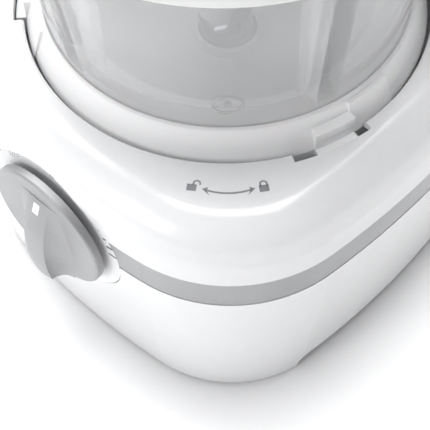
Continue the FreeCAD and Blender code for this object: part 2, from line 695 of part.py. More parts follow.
def grip_section(height):
    """The grip's level outline at a height from the knob's centre: a crest between two hollow sides."""
    foot = GRIP_WAIST - (height - GRIP_WAIST_AT) ** 2 / GRIP_TAPER
    tallest = KNOB_DISC_Y - KNOB_FACE_Y
    drop = tallest - GRIP_TOP_HEIGHT
    run = GRIP_TOP - GRIP_APEX
    arch = (run ** 2 + drop ** 2) / (2 * drop)
    rise = tallest - arch + math.sqrt(arch ** 2 - (height - GRIP_APEX) ** 2)
    crown = min(GRIP_CROWN, rise * 0.5)
    foot_y = KNOB_DISC_Y + KNOB_DISC / 2
    crest_y = KNOB_DISC_Y - rise + crown
    z = DIAL_Z + height
    side_x = GRIP_HALF_WIDTH + GRIP_HOLLOW * (foot - GRIP_HALF_WIDTH)
    side_y = KNOB_DISC_Y - GRIP_HOLLOW * (rise - crown)
    corners = [Vector(side * foot, foot_y, z) for side in (-1, 1)]
    toes = [Vector(side * foot, KNOB_DISC_Y, z) for side in (-1, 1)]
    sides = [Vector(side * side_x, side_y, z) for side in (-1, 1)]
    crest = [Vector(side * GRIP_HALF_WIDTH, crest_y, z) for side in (-1, 1)]
    middle = Vector(0, crest_y - crown, z)
    return Part.Wire([Part.makeLine(corners[0], corners[1]),
                      Part.makeLine(corners[1], toes[1]),
                      Part.Arc(toes[1], sides[1], crest[1]).toShape(),
                      Part.Arc(crest[1], middle, crest[0]).toShape(),
                      Part.Arc(crest[0], sides[0], toes[0]).toShape(),
                      Part.makeLine(toes[0], corners[0])])


def knob_grip():
    """The arched grip that stands on the knob's disc."""
    step = (GRIP_TOP - GRIP_BOTTOM) / (GRIP_SECTIONS - 1)
    sections = [grip_section(GRIP_BOTTOM + index * step) for index in range(GRIP_SECTIONS)]
    return Part.makeLoft(sections, True, False)


def pointer_block(grow):
    """A block over the pointer's place on the grip's crest, grown evenly for its pocket."""
    half = POINTER_WIDTH / 2 + grow
    z = DIAL_Z + POINTER_OFFSET
    tall = POINTER_LENGTH / 2 + grow
    block = box(-half, half, KNOB_FACE_Y - 1, KNOB_DISC_Y, z - tall, z + tall)
    floor = knob_grip()
    floor.translate(Vector(0, POINTER_DEPTH + grow, 0))
    return block.cut(floor)


def knob_pointer():
    return pointer_block(0).common(knob_grip())


def control_knob():
    disc = rod_y(KNOB_RADIUS, KNOB_DISC_Y, KNOB_DISC_Y + KNOB_DISC)
    disc = disc.makeFillet(KNOB_ROUND, [e for e in disc.Edges if abs(e.BoundBox.YMax - KNOB_DISC_Y) < 1e-3])
    hub = rod_y(KNOB_HUB_RADIUS, KNOB_DISC_Y + KNOB_DISC / 2, KNOB_BACK_Y)
    knob = disc.fuse(hub).fuse(knob_grip())
    socket = rod_y(DIAL_SHAFT_RADIUS, KNOB_FACE_Y + SHAFT_COVER, KNOB_BACK_Y + 1)
    socket = socket.fuse(rod_y(SWITCH_BUSH_RADIUS + 1, KNOB_BACK_Y - 2, KNOB_BACK_Y + 1))
    return knob.cut(socket).cut(pointer_block(INLAY_FIT))


def knob_shaft():
    back = BRACKET_Y + BRACKET_THICKNESS + SHAFT_COVER
    return rod_y(DIAL_SHAFT_RADIUS, KNOB_FACE_Y + SHAFT_COVER, back)


# ---- motor and drive ----------------------------------------------------------------------
def motor_can():
    can = cylinder(MOTOR_RADIUS, MOTOR_BOTTOM, MOTOR_TOP)
    can = can.cut(cylinder(MOTOR_RADIUS - MOTOR_WALL, MOTOR_BOTTOM + BEARING_WIDTH, MOTOR_TOP + 1))
    for index in range(MOTOR_VENTS):
        vent = box(BEARING_RADIUS + 5, MOTOR_RADIUS - 7, -2.5, 2.5,
                   MOTOR_BOTTOM - 1, MOTOR_BOTTOM + BEARING_WIDTH + 1)
        can = can.cut(turned(vent, index * 360 / MOTOR_VENTS))
    return can.cut(cylinder(BEARING_RADIUS, MOTOR_BOTTOM - 1, MOTOR_BOTTOM + BEARING_WIDTH + 1))


def motor_end_bell():
    return tube(MOTOR_RADIUS, BEARING_RADIUS, MOTOR_TOP, MOTOR_PLATE_BOTTOM)


def motor_plate():
    plate = tube(MOTOR_PLATE_RADIUS, BEARING_RADIUS + 4, MOTOR_PLATE_BOTTOM, MOTOR_PLATE_BOTTOM + MOTOR_PLATE)
    for angle in (30, 150, 270):
        hole = polar(MOTOR_POST_REACH, angle)
        plate = plate.cut(cylinder(MOTOR_PLATE_HOLE, 0, FAR, hole.x, hole.y))
    return plate


def motor_isolators():
    rings = []
    for angle in (90, 210, 330):
        spot = polar(MOTOR_POST_REACH, angle)
        bottom = MOTOR_PLATE_BOTTOM - ISOLATOR_HEIGHT
        rings.append(tube(ISOLATOR_RADIUS, ISOLATOR_BORE, bottom, MOTOR_PLATE_BOTTOM, spot.x, spot.y))
    return Part.makeCompound(rings)


def motor_bearings():
    bore = SHAFT_RADIUS + RUNNING_FIT
    low = tube(BEARING_RADIUS, bore, MOTOR_BOTTOM, MOTOR_BOTTOM + BEARING_WIDTH)
    high = tube(BEARING_RADIUS, bore, MOTOR_TOP, MOTOR_TOP + BEARING_WIDTH)
    return Part.makeCompound([low, high])


def stator_core():
    core = tube(MOTOR_RADIUS - MOTOR_WALL, STATOR_INNER, CORE_BOTTOM, CORE_TOP)
    for index in range(STATOR_SLOTS):
        slot = cylinder(STATOR_SLOT_RADIUS, CORE_BOTTOM - 1, CORE_TOP + 1, STATOR_SLOT_REACH, 0)
        core = core.cut(turned(slot, index * 360 / STATOR_SLOTS))
    return core


def rotor_core():
    core = tube(ROTOR_RADIUS, SHAFT_RADIUS, CORE_BOTTOM, CORE_TOP)
    for index in range(ROTOR_SLOTS):
        slot = box(ROTOR_RADIUS - 4, ROTOR_RADIUS + 1, -0.8, 0.8, CORE_BOTTOM - 1, CORE_TOP + 1)
        core = core.cut(turned(slot, index * 360 / ROTOR_SLOTS))
    return core


def motor_shaft():
    return cylinder(SHAFT_RADIUS, FAN_BOTTOM - 2, DOG_BOTTOM)


def cooling_fan():
    fan = tube(FAN_HUB_RADIUS, SHAFT_RADIUS, FAN_BOTTOM, FAN_BOTTOM + FAN_HEIGHT)
    fan = fan.fuse(tube(FAN_RADIUS, SHAFT_RADIUS, FAN_BOTTOM, FAN_BOTTOM + FAN_SHEET))
    for index in range(FAN_BLADES):
        blade = box(FAN_HUB_RADIUS - 1, FAN_RADIUS - 1, -FAN_SHEET / 2, FAN_SHEET / 2,
                    FAN_BOTTOM, FAN_BOTTOM + FAN_HEIGHT)
        fan = fan.fuse(turned(blade, index * 360 / FAN_BLADES))
    return fan.removeSplitter()


def dogs(z0, z1, lead):
    """The two driving dogs of a coupling half."""
    inner = SHAFT_RADIUS + 2 * FIT
    return [sector(inner, COUPLING_RADIUS, z0, z1, lead + turn, DOG_HALF_ANGLE) for turn in (0, 180)]


def drive_coupling():
    hub = tube(COUPLING_RADIUS, SHAFT_RADIUS, COUPLING_BOTTOM, DOG_BOTTOM)
    for dog in dogs(DOG_BOTTOM - 0.5, DOG_BOTTOM + DOG_HEIGHT, 0):
        hub = hub.fuse(dog)
    return hub.removeSplitter()


def jug_coupling():
    hub = tube(COUPLING_RADIUS, SPINDLE_RADIUS, JUG_HUB_BOTTOM, BUSH_BOTTOM - FIT)
    for dog in dogs(DOG_BOTTOM + FIT, JUG_HUB_BOTTOM + 0.5, DOG_LEAD):
        hub = hub.fuse(dog)
    return hub.removeSplitter()


# ---- jug ----------------------------------------------------------------------------------
def jug_radius(z):
    """The jug's outside radius at a height on its tapering wall."""
    share = (z - JUG_BOTTOM) / (JUG_TOP - JUG_FLANGE - JUG_BOTTOM)
    return JUG_FOOT_RADIUS + (JUG_RIM_RADIUS - JUG_FOOT_RADIUS) * share


def jug_body():
    """The jug's solid outside shape, with its rim."""
    flange_bottom = JUG_TOP - JUG_FLANGE
    return revolved([(0, JUG_BOTTOM), (JUG_FOOT_RADIUS, JUG_BOTTOM), (JUG_RIM_RADIUS, flange_bottom),
                     (JUG_FLANGE_RADIUS, flange_bottom + 0.5), (JUG_FLANGE_RADIUS, JUG_TOP), (0, JUG_TOP)])


def jug_hollow():
    """The space inside the jug, round where its floor meets its wall."""
    corner_z = JUG_FLOOR_TOP + JUG_CORNER
    wall = jug_radius(corner_z) - JUG_WALL
    centre = Vector(wall - JUG_CORNER, 0, corner_z)
    start = Vector(wall - JUG_CORNER, 0, JUG_FLOOR_TOP)
    end = Vector(wall, 0, corner_z)
    diagonal = JUG_CORNER / math.sqrt(2)
    top = Vector(jug_radius(JUG_TOP) - JUG_WALL, 0, JUG_TOP + 1)
    edges = [Part.makeLine(Vector(0, 0, JUG_FLOOR_TOP), start),
             Part.Arc(start, centre + Vector(diagonal, 0, -diagonal), end).toShape(),
             Part.makeLine(end, top),
             Part.makeLine(top, Vector(0, 0, JUG_TOP + 1)),
             Part.makeLine(Vector(0, 0, JUG_TOP + 1), Vector(0, 0, JUG_FLOOR_TOP))]
    return Part.Face(Part.Wire(edges)).revolve(Vector(0, 0, 0), UP, 360)


def jug():
    body = jug_body()
    shell = body.cut(jug_hollow())
    half = RIB_WIDTH / 2
    reach = JUG_FOOT_RADIUS + 12
    for angle in RIB_ANGLES:
        rib = box(RIB_REACH, reach, -half, half, JUG_FLOOR_TOP - 1, RIB_TOP)
        shell = shell.fuse(turned(rib, angle).common(body))
    for angle in RIB_ANGLES:
        hollow = box(RIB_REACH + RIB_WALL, reach, -half + RIB_WALL, half - RIB_WALL,
                     JUG_FLOOR_TOP + 3, RIB_TOP - RIB_WALL)
        shell = shell.cut(turned(hollow, angle))
    return shell.cut(cylinder(BUSH_RADIUS, JUG_BOTTOM - 1, JUG_FLOOR_TOP + 1)).removeSplitter()


def collar_profile(rise):
    """The collar's cone, raised by a given amount for the rails."""
    edge = COLLAR_TOP - COLLAR_EDGE
    return [(COLLAR_SKIRT_RADIUS - COLLAR_WALL, COLLAR_SHOULDER - 1),
            (COLLAR_SKIRT_RADIUS + rise / 2, COLLAR_SHOULDER),
            (COLLAR_TOP_RADIUS + rise, edge), (COLLAR_TOP_RADIUS - 0.6, edge)]


def jug_collar():
    shelf = JUG_BOTTOM - COLLAR_SEAT_GAP
    shelf_inner = JUG_FOOT_RADIUS - COLLAR_SHELF_WIDTH
    inside = COLLAR_SKIRT_RADIUS - COLLAR_WALL
    seat = JUG_FOOT_RADIUS + 2 * FIT
    points = [(shelf_inner, shelf - COLLAR_SHELF), (JUG_FOOT_RADIUS - 0.6, shelf - COLLAR_SHELF),
              (inside, COLLAR_SHOULDER - 1), (inside, COLLAR_BOTTOM),
              (COLLAR_SKIRT_RADIUS, COLLAR_BOTTOM), (COLLAR_SKIRT_RADIUS, COLLAR_SHOULDER),
              (COLLAR_TOP_RADIUS, COLLAR_TOP - COLLAR_EDGE), (COLLAR_TOP_RADIUS - 0.5, COLLAR_TOP - 0.3),
              (COLLAR_TOP_RADIUS - COLLAR_EDGE, COLLAR_TOP), (seat + 0.3, COLLAR_TOP),
              (seat, COLLAR_TOP - 0.4), (seat, shelf), (shelf_inner, shelf)]
    collar = revolved(points)
    for angle in lug_angles():
        tongue_top = TOP_UNDERSIDE - 2 * FIT
        tongue = sector(inside, LUG_TONGUE_RADIUS, LUG_TONGUE_BOTTOM, tongue_top, angle, LUG_HALF_ANGLE)
        pad = sector(inside - 1.5, LUG_PAD_RADIUS, COLLAR_SHOULDER - 1, LUG_PAD_TOP, angle, LUG_HALF_ANGLE)
        rail_start = angle + LUG_HALF_ANGLE
        rail = revolved(collar_profile(RAIL_RISE), rail_start - 0.2, RAIL_ANGLE)
        collar = collar.fuse(tongue).fuse(pad).fuse(rail)
    return collar.cut(switch_ramp()).removeSplitter()


def switch_ramp():
    """A recess under the collar's skirt whose sloping roof presses the safety switch as the jug turns."""
    run = PLUNGER_REACH * math.radians(BOWL_TURN)
    high = COLLAR_BOTTOM + PLUNGER_STROKE + 2 * FIT
    slope = PLUNGER_STROKE / run
    low = high - slope * (run + RAMP_LEAD)
    points = [Vector(0, -RAMP_LEAD, COLLAR_BOTTOM - 1), Vector(0, -RAMP_LEAD, high + slope * RAMP_LEAD),
              Vector(0, run + RAMP_LEAD, low), Vector(0, run + RAMP_LEAD, COLLAR_BOTTOM - 1)]
    face = Part.Face(Part.makePolygon(points + points[:1]))
    wedge = face.extrude(Vector(RAMP_WIDTH, 0, 0))
    wedge.translate(Vector(COLLAR_SKIRT_RADIUS + FIT - RAMP_WIDTH, 0, 0))
    wedge = wedge.mirror(Vector(0, 0, 0), ALONG_Y)
    wedge.rotate(Vector(0, 0, 0), UP, PLUNGER_ANGLE)
    return wedge


def jug_handle():
    inner = HANDLE_REACH - HANDLE_GRIP
    root = JUG_FOOT_RADIUS - 4
    outer_points = [(root, HANDLE_BOTTOM), (inner, HANDLE_BOTTOM), (HANDLE_REACH, HANDLE_BOTTOM + 14),
                    (HANDLE_REACH, HANDLE_TOP - 12), (inner + 2, HANDLE_TOP), (root, HANDLE_TOP)]
    inner_points = [(root - 1, HANDLE_BOTTOM + 11), (inner - 7, HANDLE_BOTTOM + 11), (inner, HANDLE_BOTTOM + 20),
                    (inner, HANDLE_TOP - 18), (inner - 6, HANDLE_TOP - 11), (root - 1, HANDLE_TOP - 11)]
    solids = []
    for points, half, bend in ((outer_points, HANDLE_WIDTH / 2, 12.0), (inner_points, HANDLE_WIDTH, 7.0)):
        wire = Part.makePolygon([Vector(r, -half, z) for r, z in points + points[:1]])
        block = Part.Face(wire).extrude(Vector(0, 2 * half, 0))
        bends = [e for e in block.Edges if e.BoundBox.YLength > half and e.BoundBox.XMin > root + 1]
        solids.append(block.makeFillet(bend, bends))
    loop = solids[0].cut(solids[1])
    flat_edges = [e for e in loop.Edges if e.BoundBox.YLength < 1e-3 and e.BoundBox.XMax > root + 0.5]
    long_edges = [e for e in flat_edges if e.BoundBox.XLength + e.BoundBox.ZLength > 1]
    loop = loop.makeFillet(HANDLE_SOFTEN, long_edges)
    loop = turned(loop, HANDLE_ANGLE)
    return loop.cut(jug_body())


def spindle_bush():
    bush = tube(BUSH_RADIUS, SPINDLE_RADIUS + RUNNING_FIT, BUSH_BOTTOM, JUG_FLOOR_TOP + 1.4)
    flange = tube(BUSH_FLANGE_RADIUS, BUSH_RADIUS - 1, JUG_BOTTOM - 3, JUG_BOTTOM)
    return bush.fuse(flange).removeSplitter()


# ---- blades -------------------------------------------------------------------------------
def blade_spindle():
    return cylinder(SPINDLE_RADIUS, JUG_HUB_BOTTOM, BLADES_TOP + NUT_HEIGHT - NUT_CROWN)


def blade_hub():
    hub = tube(HUB_RADIUS, SPINDLE_RADIUS, HUB_BOTTOM, BLADE_SEAT)
    return hub.fuse(tube(HUB_SPIGOT, SPINDLE_RADIUS, BLADE_SEAT - 1, BLADES_TOP)).removeSplitter()


def blade_pair(z, tip_rise, angle, tip):
    """Two opposed blades stamped from one strip, with their tips bent up or down."""
    half = BLADE_HALF_WIDTH
    bend = tip * 0.45
    angle_up = math.degrees(math.atan2(tip_rise, tip - bend))
    strip = []
    for turn in (0, 180):
        root = [Vector(0, -half - 0.5, z), Vector(bend, -half, z), Vector(bend, half, z), Vector(0, half + 0.5, z)]
        flat = Part.Face(Part.makePolygon(root + root[:1])).extrude(Vector(0, 0, BLADE_THICKNESS))
        edge = [Vector(bend, -half, z), Vector(tip - 9, 1 - half, z), Vector(tip, 2.0, z),
                Vector(tip - 3, half - 0.5, z), Vector(bend, half, z)]
        wing = Part.Face(Part.makePolygon(edge + edge[:1])).extrude(Vector(0, 0, BLADE_THICKNESS))
        wing.rotate(Vector(bend, 0, z + BLADE_THICKNESS / 2), ALONG_Y, -angle_up)
        joint = rod_y(BLADE_THICKNESS / 2, -half, half, bend, z + BLADE_THICKNESS / 2)
        strip.append(turned(flat.fuse(wing).fuse(joint), angle + turn))
    pair = strip[0].fuse(strip[1])
    return pair.cut(cylinder(HUB_SPIGOT, z - 1, z + BLADE_THICKNESS + 1))


def lower_blades():
    return blade_pair(BLADE_SEAT, -LOWER_TIP_DROP, BLADE_ANGLE + 90, BLADE_TIP_RADIUS - LOWER_BLADE_TRIM)


def upper_blades():
    return blade_pair(BLADE_SEAT + BLADE_THICKNESS, UPPER_TIP_RISE, BLADE_ANGLE, BLADE_TIP_RADIUS)


def blade_nut():
    top = BLADES_TOP + NUT_HEIGHT
    nut = cylinder(NUT_RADIUS, BLADES_TOP, top)
    nut = nut.makeFillet(2.5, edges_at(nut, top))
    return nut.cut(cylinder(SPINDLE_RADIUS, BLADES_TOP - 1, top - NUT_CROWN))


# ---- lid ----------------------------------------------------------------------------------
def lid_hollows():
    """The room inside the lid for its seal, and the room under its roof beside the mouth."""
    return cylinder(LID_GROOVE_OUTER, 0, LID_GROOVE_TOP).fuse(cylinder(LID_GROOVE_INNER, 0, LID_GROOVE_TOP + 2))


def lid():
    inside = LID_RADIUS - LID_WALL - 0.1
    brow = LID_RADIUS - 5
    slope = LID_RADIUS - 26.3
    mouth = LID_MOUTH_RADIUS
    throat = mouth + LID_MOUTH_WALL
    roof = JUG_TOP + 12.0
    points = [(inside, LID_SKIRT_BOTTOM), (LID_RADIUS - 0.6, LID_SKIRT_BOTTOM), (LID_RADIUS, LID_SKIRT_BOTTOM + 0.8),
              (LID_RADIUS, JUG_TOP + 2.5), (LID_RADIUS - 1.4, JUG_TOP + 5.6), (brow, JUG_TOP + 7.8),
              (slope, roof), (mouth + 4.5, LID_MOUTH_TOP), (mouth, LID_MOUTH_TOP), (mouth, LID_MOUTH_BOTTOM),
              (throat, LID_MOUTH_BOTTOM), (throat, LID_MOUTH_TOP - 2.7), (slope - 0.5, roof - LID_SHEET),
              (LID_GROOVE_INNER, LID_GROOVE_TOP + 2), (LID_GROOVE_INNER, LID_GROOVE_TOP),
              (LID_GROOVE_OUTER, LID_GROOVE_TOP), (LID_GROOVE_OUTER, LID_LAND), (inside, LID_LAND)]
    solid = revolved(points)
    angle = PORT_ANGLE - BOWL_TURN
    start = PORT_REACH - PORT_LENGTH
    port = Part.makeCylinder(PORT_RADIUS, PORT_LENGTH + 5, Vector(start, 0, PORT_Z), Vector(1, 0, 0))
    port = port.fuse(box(start, PORT_REACH + 5, -PORT_RADIUS, PORT_RADIUS, LID_LAND + 1, PORT_Z))
    port = port.common(cylinder(PORT_REACH, 0, FAR)).cut(lid_hollows())
    solid = solid.fuse(turned(port, angle))
    elbow = start + 9
    bore = Part.makeCylinder(PORT_BORE, PORT_LENGTH, Vector(elbow - 1, 0, PORT_Z), Vector(1, 0, 0))
    bore = bore.fuse(cylinder(PORT_BORE, JUG_TOP - 8, PORT_Z, elbow, 0))
    return solid.cut(turned(bore, angle)).removeSplitter()


def lid_seal():
    return tube(LID_GROOVE_OUTER - SEAL_INSET, LID_GROOVE_INNER + 0.5, JUG_TOP + FIT, LID_GROOVE_TOP - FIT)


def lid_cap():
    spigot = LID_MOUTH_RADIUS - FIT
    seat = LID_MOUTH_TOP + FIT
    grip = CAP_FLANGE_RADIUS - 13.5
    points = [(0, seat + 1.6), (spigot - 2.2, seat + 1.6), (spigot - 2.2, LID_MOUTH_BOTTOM),
              (spigot, LID_MOUTH_BOTTOM), (spigot, seat), (CAP_FLANGE_RADIUS, seat),
              (CAP_FLANGE_RADIUS, seat + 2.0), (CAP_FLANGE_RADIUS - 1.6, seat + 3.8), (grip + 2.5, seat + 4.6),
              (grip, seat + 5.8), (grip - 1, CAP_TOP - 1.2), (grip - 2.5, CAP_TOP), (0, CAP_TOP)]
    return revolved(points)


# ---- water tower --------------------------------------------------------------------------
def tower_prism(extra, z0, z1, right=None):
    """A crescent behind the jug, drawn in by an extra inset, and cut short on the right if asked."""
    side = TOWER_HALF_WIDTH - extra
    right = side if right is None else right
    solid = prism(TOWER_INSET + extra, z0, z1)
    solid = solid.common(box(-side, right, TOWER_START_Y, FAR, z0 - 1, z1 + 1))
    return solid.cut(cylinder(TOWER_FRONT_RADIUS + extra, z0 - 1, z1 + 1))


def tower_shell():
    bottom = BASE_HEIGHT - TOP_FILLET
    outer = tower_prism(0, bottom, TOWER_TOP)
    outer = outer.makeFillet(TOWER_ROUND, upright_edges(outer, 50))
    inner = tower_prism(TOWER_WALL, bottom - 1, TOWER_TOP + 1)
    inner = inner.makeFillet(TOWER_ROUND - TOWER_WALL, upright_edges(inner, 50))
    seat = casing_top_solid()
    seat.translate(Vector(0, 0, SEAT_GAP))
    shell = outer.cut(inner).cut(seat)
    ledge_front = HINGE_Y - HINGE_RADIUS - 1
    ledge = inner.common(box(-FAR, FAR, ledge_front, FAR, TOWER_TOP - TOWER_WALL, TOWER_TOP))
    shell = shell.fuse(ledge)
    for x0, x1 in ((-EAR_OUTER, -EAR_INNER), (EAR_INNER, EAR_OUTER)):
        ear = Part.makeCylinder(HINGE_RADIUS, x1 - x0, Vector(x0, HINGE_Y, HINGE_Z), Vector(1, 0, 0))
        ear = ear.fuse(box(x0, x1, HINGE_Y - HINGE_RADIUS, HINGE_Y + HINGE_RADIUS, TOWER_TOP - 1, HINGE_Z))
        shell = shell.fuse(ear)
    shell = shell.cut(hinge_bore())
    start = Vector(TOWER_FRONT_RADIUS - 10, 0, PORT_Z)
    mouth = Part.makeCylinder(NOZZLE_SEAL_RADIUS + FIT, 20, start, Vector(1, 0, 0))
    return shell.cut(turned(mouth, PORT_ANGLE)).removeSplitter()


def hinge_bore():
    """The hole that the tank lid's pin lies in."""
    reach = KNUCKLE_OUTER + 5
    start = Vector(-reach, HINGE_Y, HINGE_Z)
    return Part.makeCylinder(HINGE_PIN_RADIUS + RUNNING_FIT, 2 * reach, start, Vector(1, 0, 0))


def tank_lid_pin():
    reach = KNUCKLE_OUTER - 1
    return Part.makeCylinder(HINGE_PIN_RADIUS, 2 * reach, Vector(-reach, HINGE_Y, HINGE_Z), Vector(1, 0, 0))


def tank_lid():
    bottom = TOWER_TOP + TANK_LID_GAP
    panel = tower_prism(0, bottom, TANK_LID_TOP)
    panel = panel.makeFillet(TOWER_ROUND, upright_edges(panel, 5))
    panel = panel.makeFillet(TANK_LID_ROUND, edges_at(panel, TANK_LID_TOP))
    panel = panel.cut(tower_prism(TANK_LID_WALL, bottom - 1, TANK_LID_TOP - TANK_LID_WALL))
    back_y = HINGE_Y - HINGE_RADIUS - 2 * FIT
    panel = panel.cut(box(-FAR, FAR, back_y, FAR, 0, FAR))
    rib_y = back_y - HINGE_RIB
    rib_reach = TOWER_HALF_WIDTH - 12
    rib = box(-rib_reach, rib_reach, rib_y, back_y, 0, FAR)
    panel = panel.fuse(tower_prism(0.5, bottom, TANK_LID_TOP - 1).common(rib))
    radius = HINGE_RADIUS - KNUCKLE_SLACK
    for x0, x1 in ((-KNUCKLE_OUTER, -EAR_OUTER - FIT), (EAR_OUTER + FIT, KNUCKLE_OUTER)):
        knuckle = Part.makeCylinder(radius, x1 - x0, Vector(x0, HINGE_Y, HINGE_Z), Vector(1, 0, 0))
        arm = box(x0, x1, rib_y, HINGE_Y, HINGE_Z - 2 * FIT, HINGE_Z + radius)
        panel = panel.fuse(knuckle.fuse(arm))
    return panel.cut(hinge_bore()).removeSplitter()


def water_tank():
    extra = TOWER_WALL + 2 * FIT
    top = TOWER_TOP - TOWER_WALL - FIT
    tank = tower_prism(extra, TANK_BOTTOM, top, TANK_RIGHT)
    tank = tank.makeFillet(TOWER_ROUND - extra, upright_edges(tank, 50))
    floor = TANK_BOTTOM + TANK_WALL
    inner = tower_prism(extra + TANK_WALL, floor, top + 1, TANK_RIGHT - TANK_WALL)
    inner = inner.makeFillet(TOWER_ROUND - extra - TANK_WALL, upright_edges(inner, 50))
    tank = tank.cut(inner)
    tank = tank.cut(box(-FAR, FAR, HINGE_Y - HINGE_RADIUS - 1.4, FAR, top - 1, FAR))
    spout = cylinder(FEED_RADIUS, BASE_HEIGHT + FEED_RISE, floor - 1, FEED_X, FEED_Y)
    tank = tank.fuse(spout)
    return tank.cut(cylinder(FEED_BORE, BASE_HEIGHT, floor + 1, FEED_X, FEED_Y)).removeSplitter()


def tank_rests():
    """Blocks on the base's top that carry the water tank."""
    rests = []
    half = TANK_REST_HALF
    for x, y in TANK_RESTS:
        rests.append(box(x - half, x + half, y - half, y + half, BASE_HEIGHT + SEAT_GAP, TANK_BOTTOM))
    return Part.makeCompound(rests)


def boiler_centre(z=0.0):
    """A point on the boiler's axis, which lies just inside the riser pipe."""
    return polar(PIPE_REACH - BOILER_BEHIND, PORT_ANGLE, z)


def boiler():
    centre = boiler_centre()
    tank = cylinder(BOILER_RADIUS, BOILER_BOTTOM, BOILER_TOP, centre.x, centre.y)
    tank = tank.makeFillet(BOILER_WALL, edges_at(tank, BOILER_TOP))
    room = cylinder(BOILER_RADIUS - BOILER_WALL, BOILER_BOTTOM + 4, BOILER_TOP - BOILER_WALL, centre.x, centre.y)
    tank = tank.cut(room)
    for index in range(BOILER_RINGS):
        z = BOILER_BOTTOM + 6 + index * BOILER_RING_PITCH
        tank = tank.cut(tube(BOILER_RADIUS + 1, BOILER_RADIUS - 1.2, z, z + 2, centre.x, centre.y))
    riser = polar(PIPE_REACH, PORT_ANGLE)
    tank = tank.fuse(cylinder(PIPE_BORE + 1.2, BOILER_TOP - BOILER_WALL, BOILER_TOP, riser.x, riser.y))
    return tank.cut(cylinder(PIPE_BORE, BOILER_TOP - BOILER_WALL - 1, BOILER_TOP + 1, riser.x, riser.y))


def boiler_stand():
    """The post that carries the boiler above the floor plate."""
    centre = boiler_centre()
    flange = BOILER_BOTTOM - STAND_FLANGE
    stand = tube(STAND_RADIUS, STAND_BORE, FLOOR_PLATE_TOP, flange + 1, centre.x, centre.y)
    top = tube(STAND_FLANGE_RADIUS, STAND_BORE, flange, BOILER_BOTTOM, centre.x, centre.y)
    return stand.fuse(top).removeSplitter()


def steam_pipe():
    foot = polar(PIPE_REACH, PORT_ANGLE, BOILER_TOP)
    corner = polar(PIPE_REACH, PORT_ANGLE, PORT_Z)
    end = polar(PIPE_REACH - BEND - 1, PORT_ANGLE, PORT_Z)
    return pipe(PIPE_RADIUS, PIPE_BORE, [foot, corner, end], BEND)


def steam_nozzle():
    inner_face = TOWER_FRONT_RADIUS + TOWER_WALL
    start = inner_face - 0.2
    end = PIPE_REACH - BEND - 1
    along = Vector(1, 0, 0)
    nozzle = Part.makeCylinder(PIPE_RADIUS, end - start, Vector(start, 0, PORT_Z), along)
    flange_start = Vector(inner_face + FIT, 0, PORT_Z)
    flange = Part.makeCylinder(NOZZLE_FLANGE_RADIUS, NOZZLE_FLANGE, flange_start, along)
    bore = Part.makeCylinder(PIPE_BORE, 30, Vector(start - 5, 0, PORT_Z), along)
    return turned(nozzle.fuse(flange).cut(bore), PORT_ANGLE).removeSplitter()


def nozzle_seal():
    front = PORT_REACH + 0.5
    back = TOWER_FRONT_RADIUS + TOWER_WALL - 0.2
    ring = Part.makeCylinder(NOZZLE_SEAL_RADIUS, back - front, Vector(front, 0, PORT_Z), Vector(1, 0, 0))
    ring = ring.cut(Part.makeCylinder(PIPE_BORE, 30, Vector(front - 5, 0, PORT_Z), Vector(1, 0, 0)))
    return turned(ring, PORT_ANGLE)


def feed_pipe():
    top = Vector(FEED_X, FEED_Y, BASE_HEIGHT + FEED_RISE)
    corner = Vector(FEED_X, FEED_Y, FEED_LEVEL)
    centre = boiler_centre(FEED_LEVEL)
    end = centre - unit(corner, centre) * (BOILER_RADIUS + 0.4)
    return pipe(FEED_RADIUS, FEED_BORE, [top, corner, end], BEND)


# ---- safety switch, board and gland -------------------------------------------------------
def safety_switch():
    seat = polar(PLUNGER_REACH, PLUNGER_ANGLE)
    half = SAFETY_WIDTH / 2
    body = box(seat.x - SAFETY_DEPTH / 2, seat.x + SAFETY_DEPTH / 2, seat.y - half, seat.y + half,
               SAFETY_BOTTOM, WELL_UNDERSIDE - FIT)
    for offset in (-6, 6):
        middle = seat.y + offset
        tab = box(seat.x - TAB_HALF, seat.x + TAB_HALF, middle - 1.5, middle + 1.5,
                  SAFETY_BOTTOM - TAB_LENGTH, SAFETY_BOTTOM + 1)
        body = body.fuse(tab)
    return body.cut(cylinder(PLUNGER_RADIUS + FIT, SPRING_BOTTOM, FAR, seat.x, seat.y)).removeSplitter()


def plunger_top():
    """The plunger's rest height, just under the collar's ramp."""
    return COLLAR_BOTTOM + PLUNGER_STROKE + FIT


def switch_plunger():
    seat = polar(PLUNGER_REACH, PLUNGER_ANGLE)
    rod = cylinder(PLUNGER_RADIUS, PLUNGER_BOTTOM, plunger_top(), seat.x, seat.y)
    return rod.makeFillet(PLUNGER_ROUND, edges_at(rod, plunger_top()))


def plunger_spring():
    seat = polar(PLUNGER_REACH, PLUNGER_ANGLE)
    base = SPRING_BOTTOM + SPRING_WIRE + SPRING_SLACK
    height = PLUNGER_BOTTOM - SPRING_WIRE - SPRING_SLACK - base
    helix = Part.makeHelix(height / SPRING_COILS, height, SPRING_RADIUS)
    wire = Part.Wire(Part.makeCircle(SPRING_WIRE, Vector(SPRING_RADIUS, 0, 0), ALONG_Y))
    coil = Part.Wire(helix).makePipeShell([wire], True, True)
    coil.translate(Vector(seat.x, seat.y, base))
    return coil


def circuit_board():
    return box(BOARD_LEFT, BOARD_RIGHT, BOARD_NEAR, BOARD_FAR, BOARD_Z, BOARD_Z + BOARD_THICKNESS)


def board_parts():
    top = BOARD_Z + BOARD_THICKNESS
    left = BOARD_LEFT
    right = BOARD_RIGHT
    near = BOARD_NEAR
    transformer = box(left + 4, left + 22, near + 6, near + 26, top, top + 18)
    terminals = box(right - 12, right - 4, near + 20, near + 50, top, top + 9)
    relay = box(left + 6, left + 20, near + 34, near + 50, top, top + 12)
    capacitor = cylinder(5, top, top + 16, right - 8, near + 10)
    return Part.makeCompound([transformer, terminals, relay, capacitor])


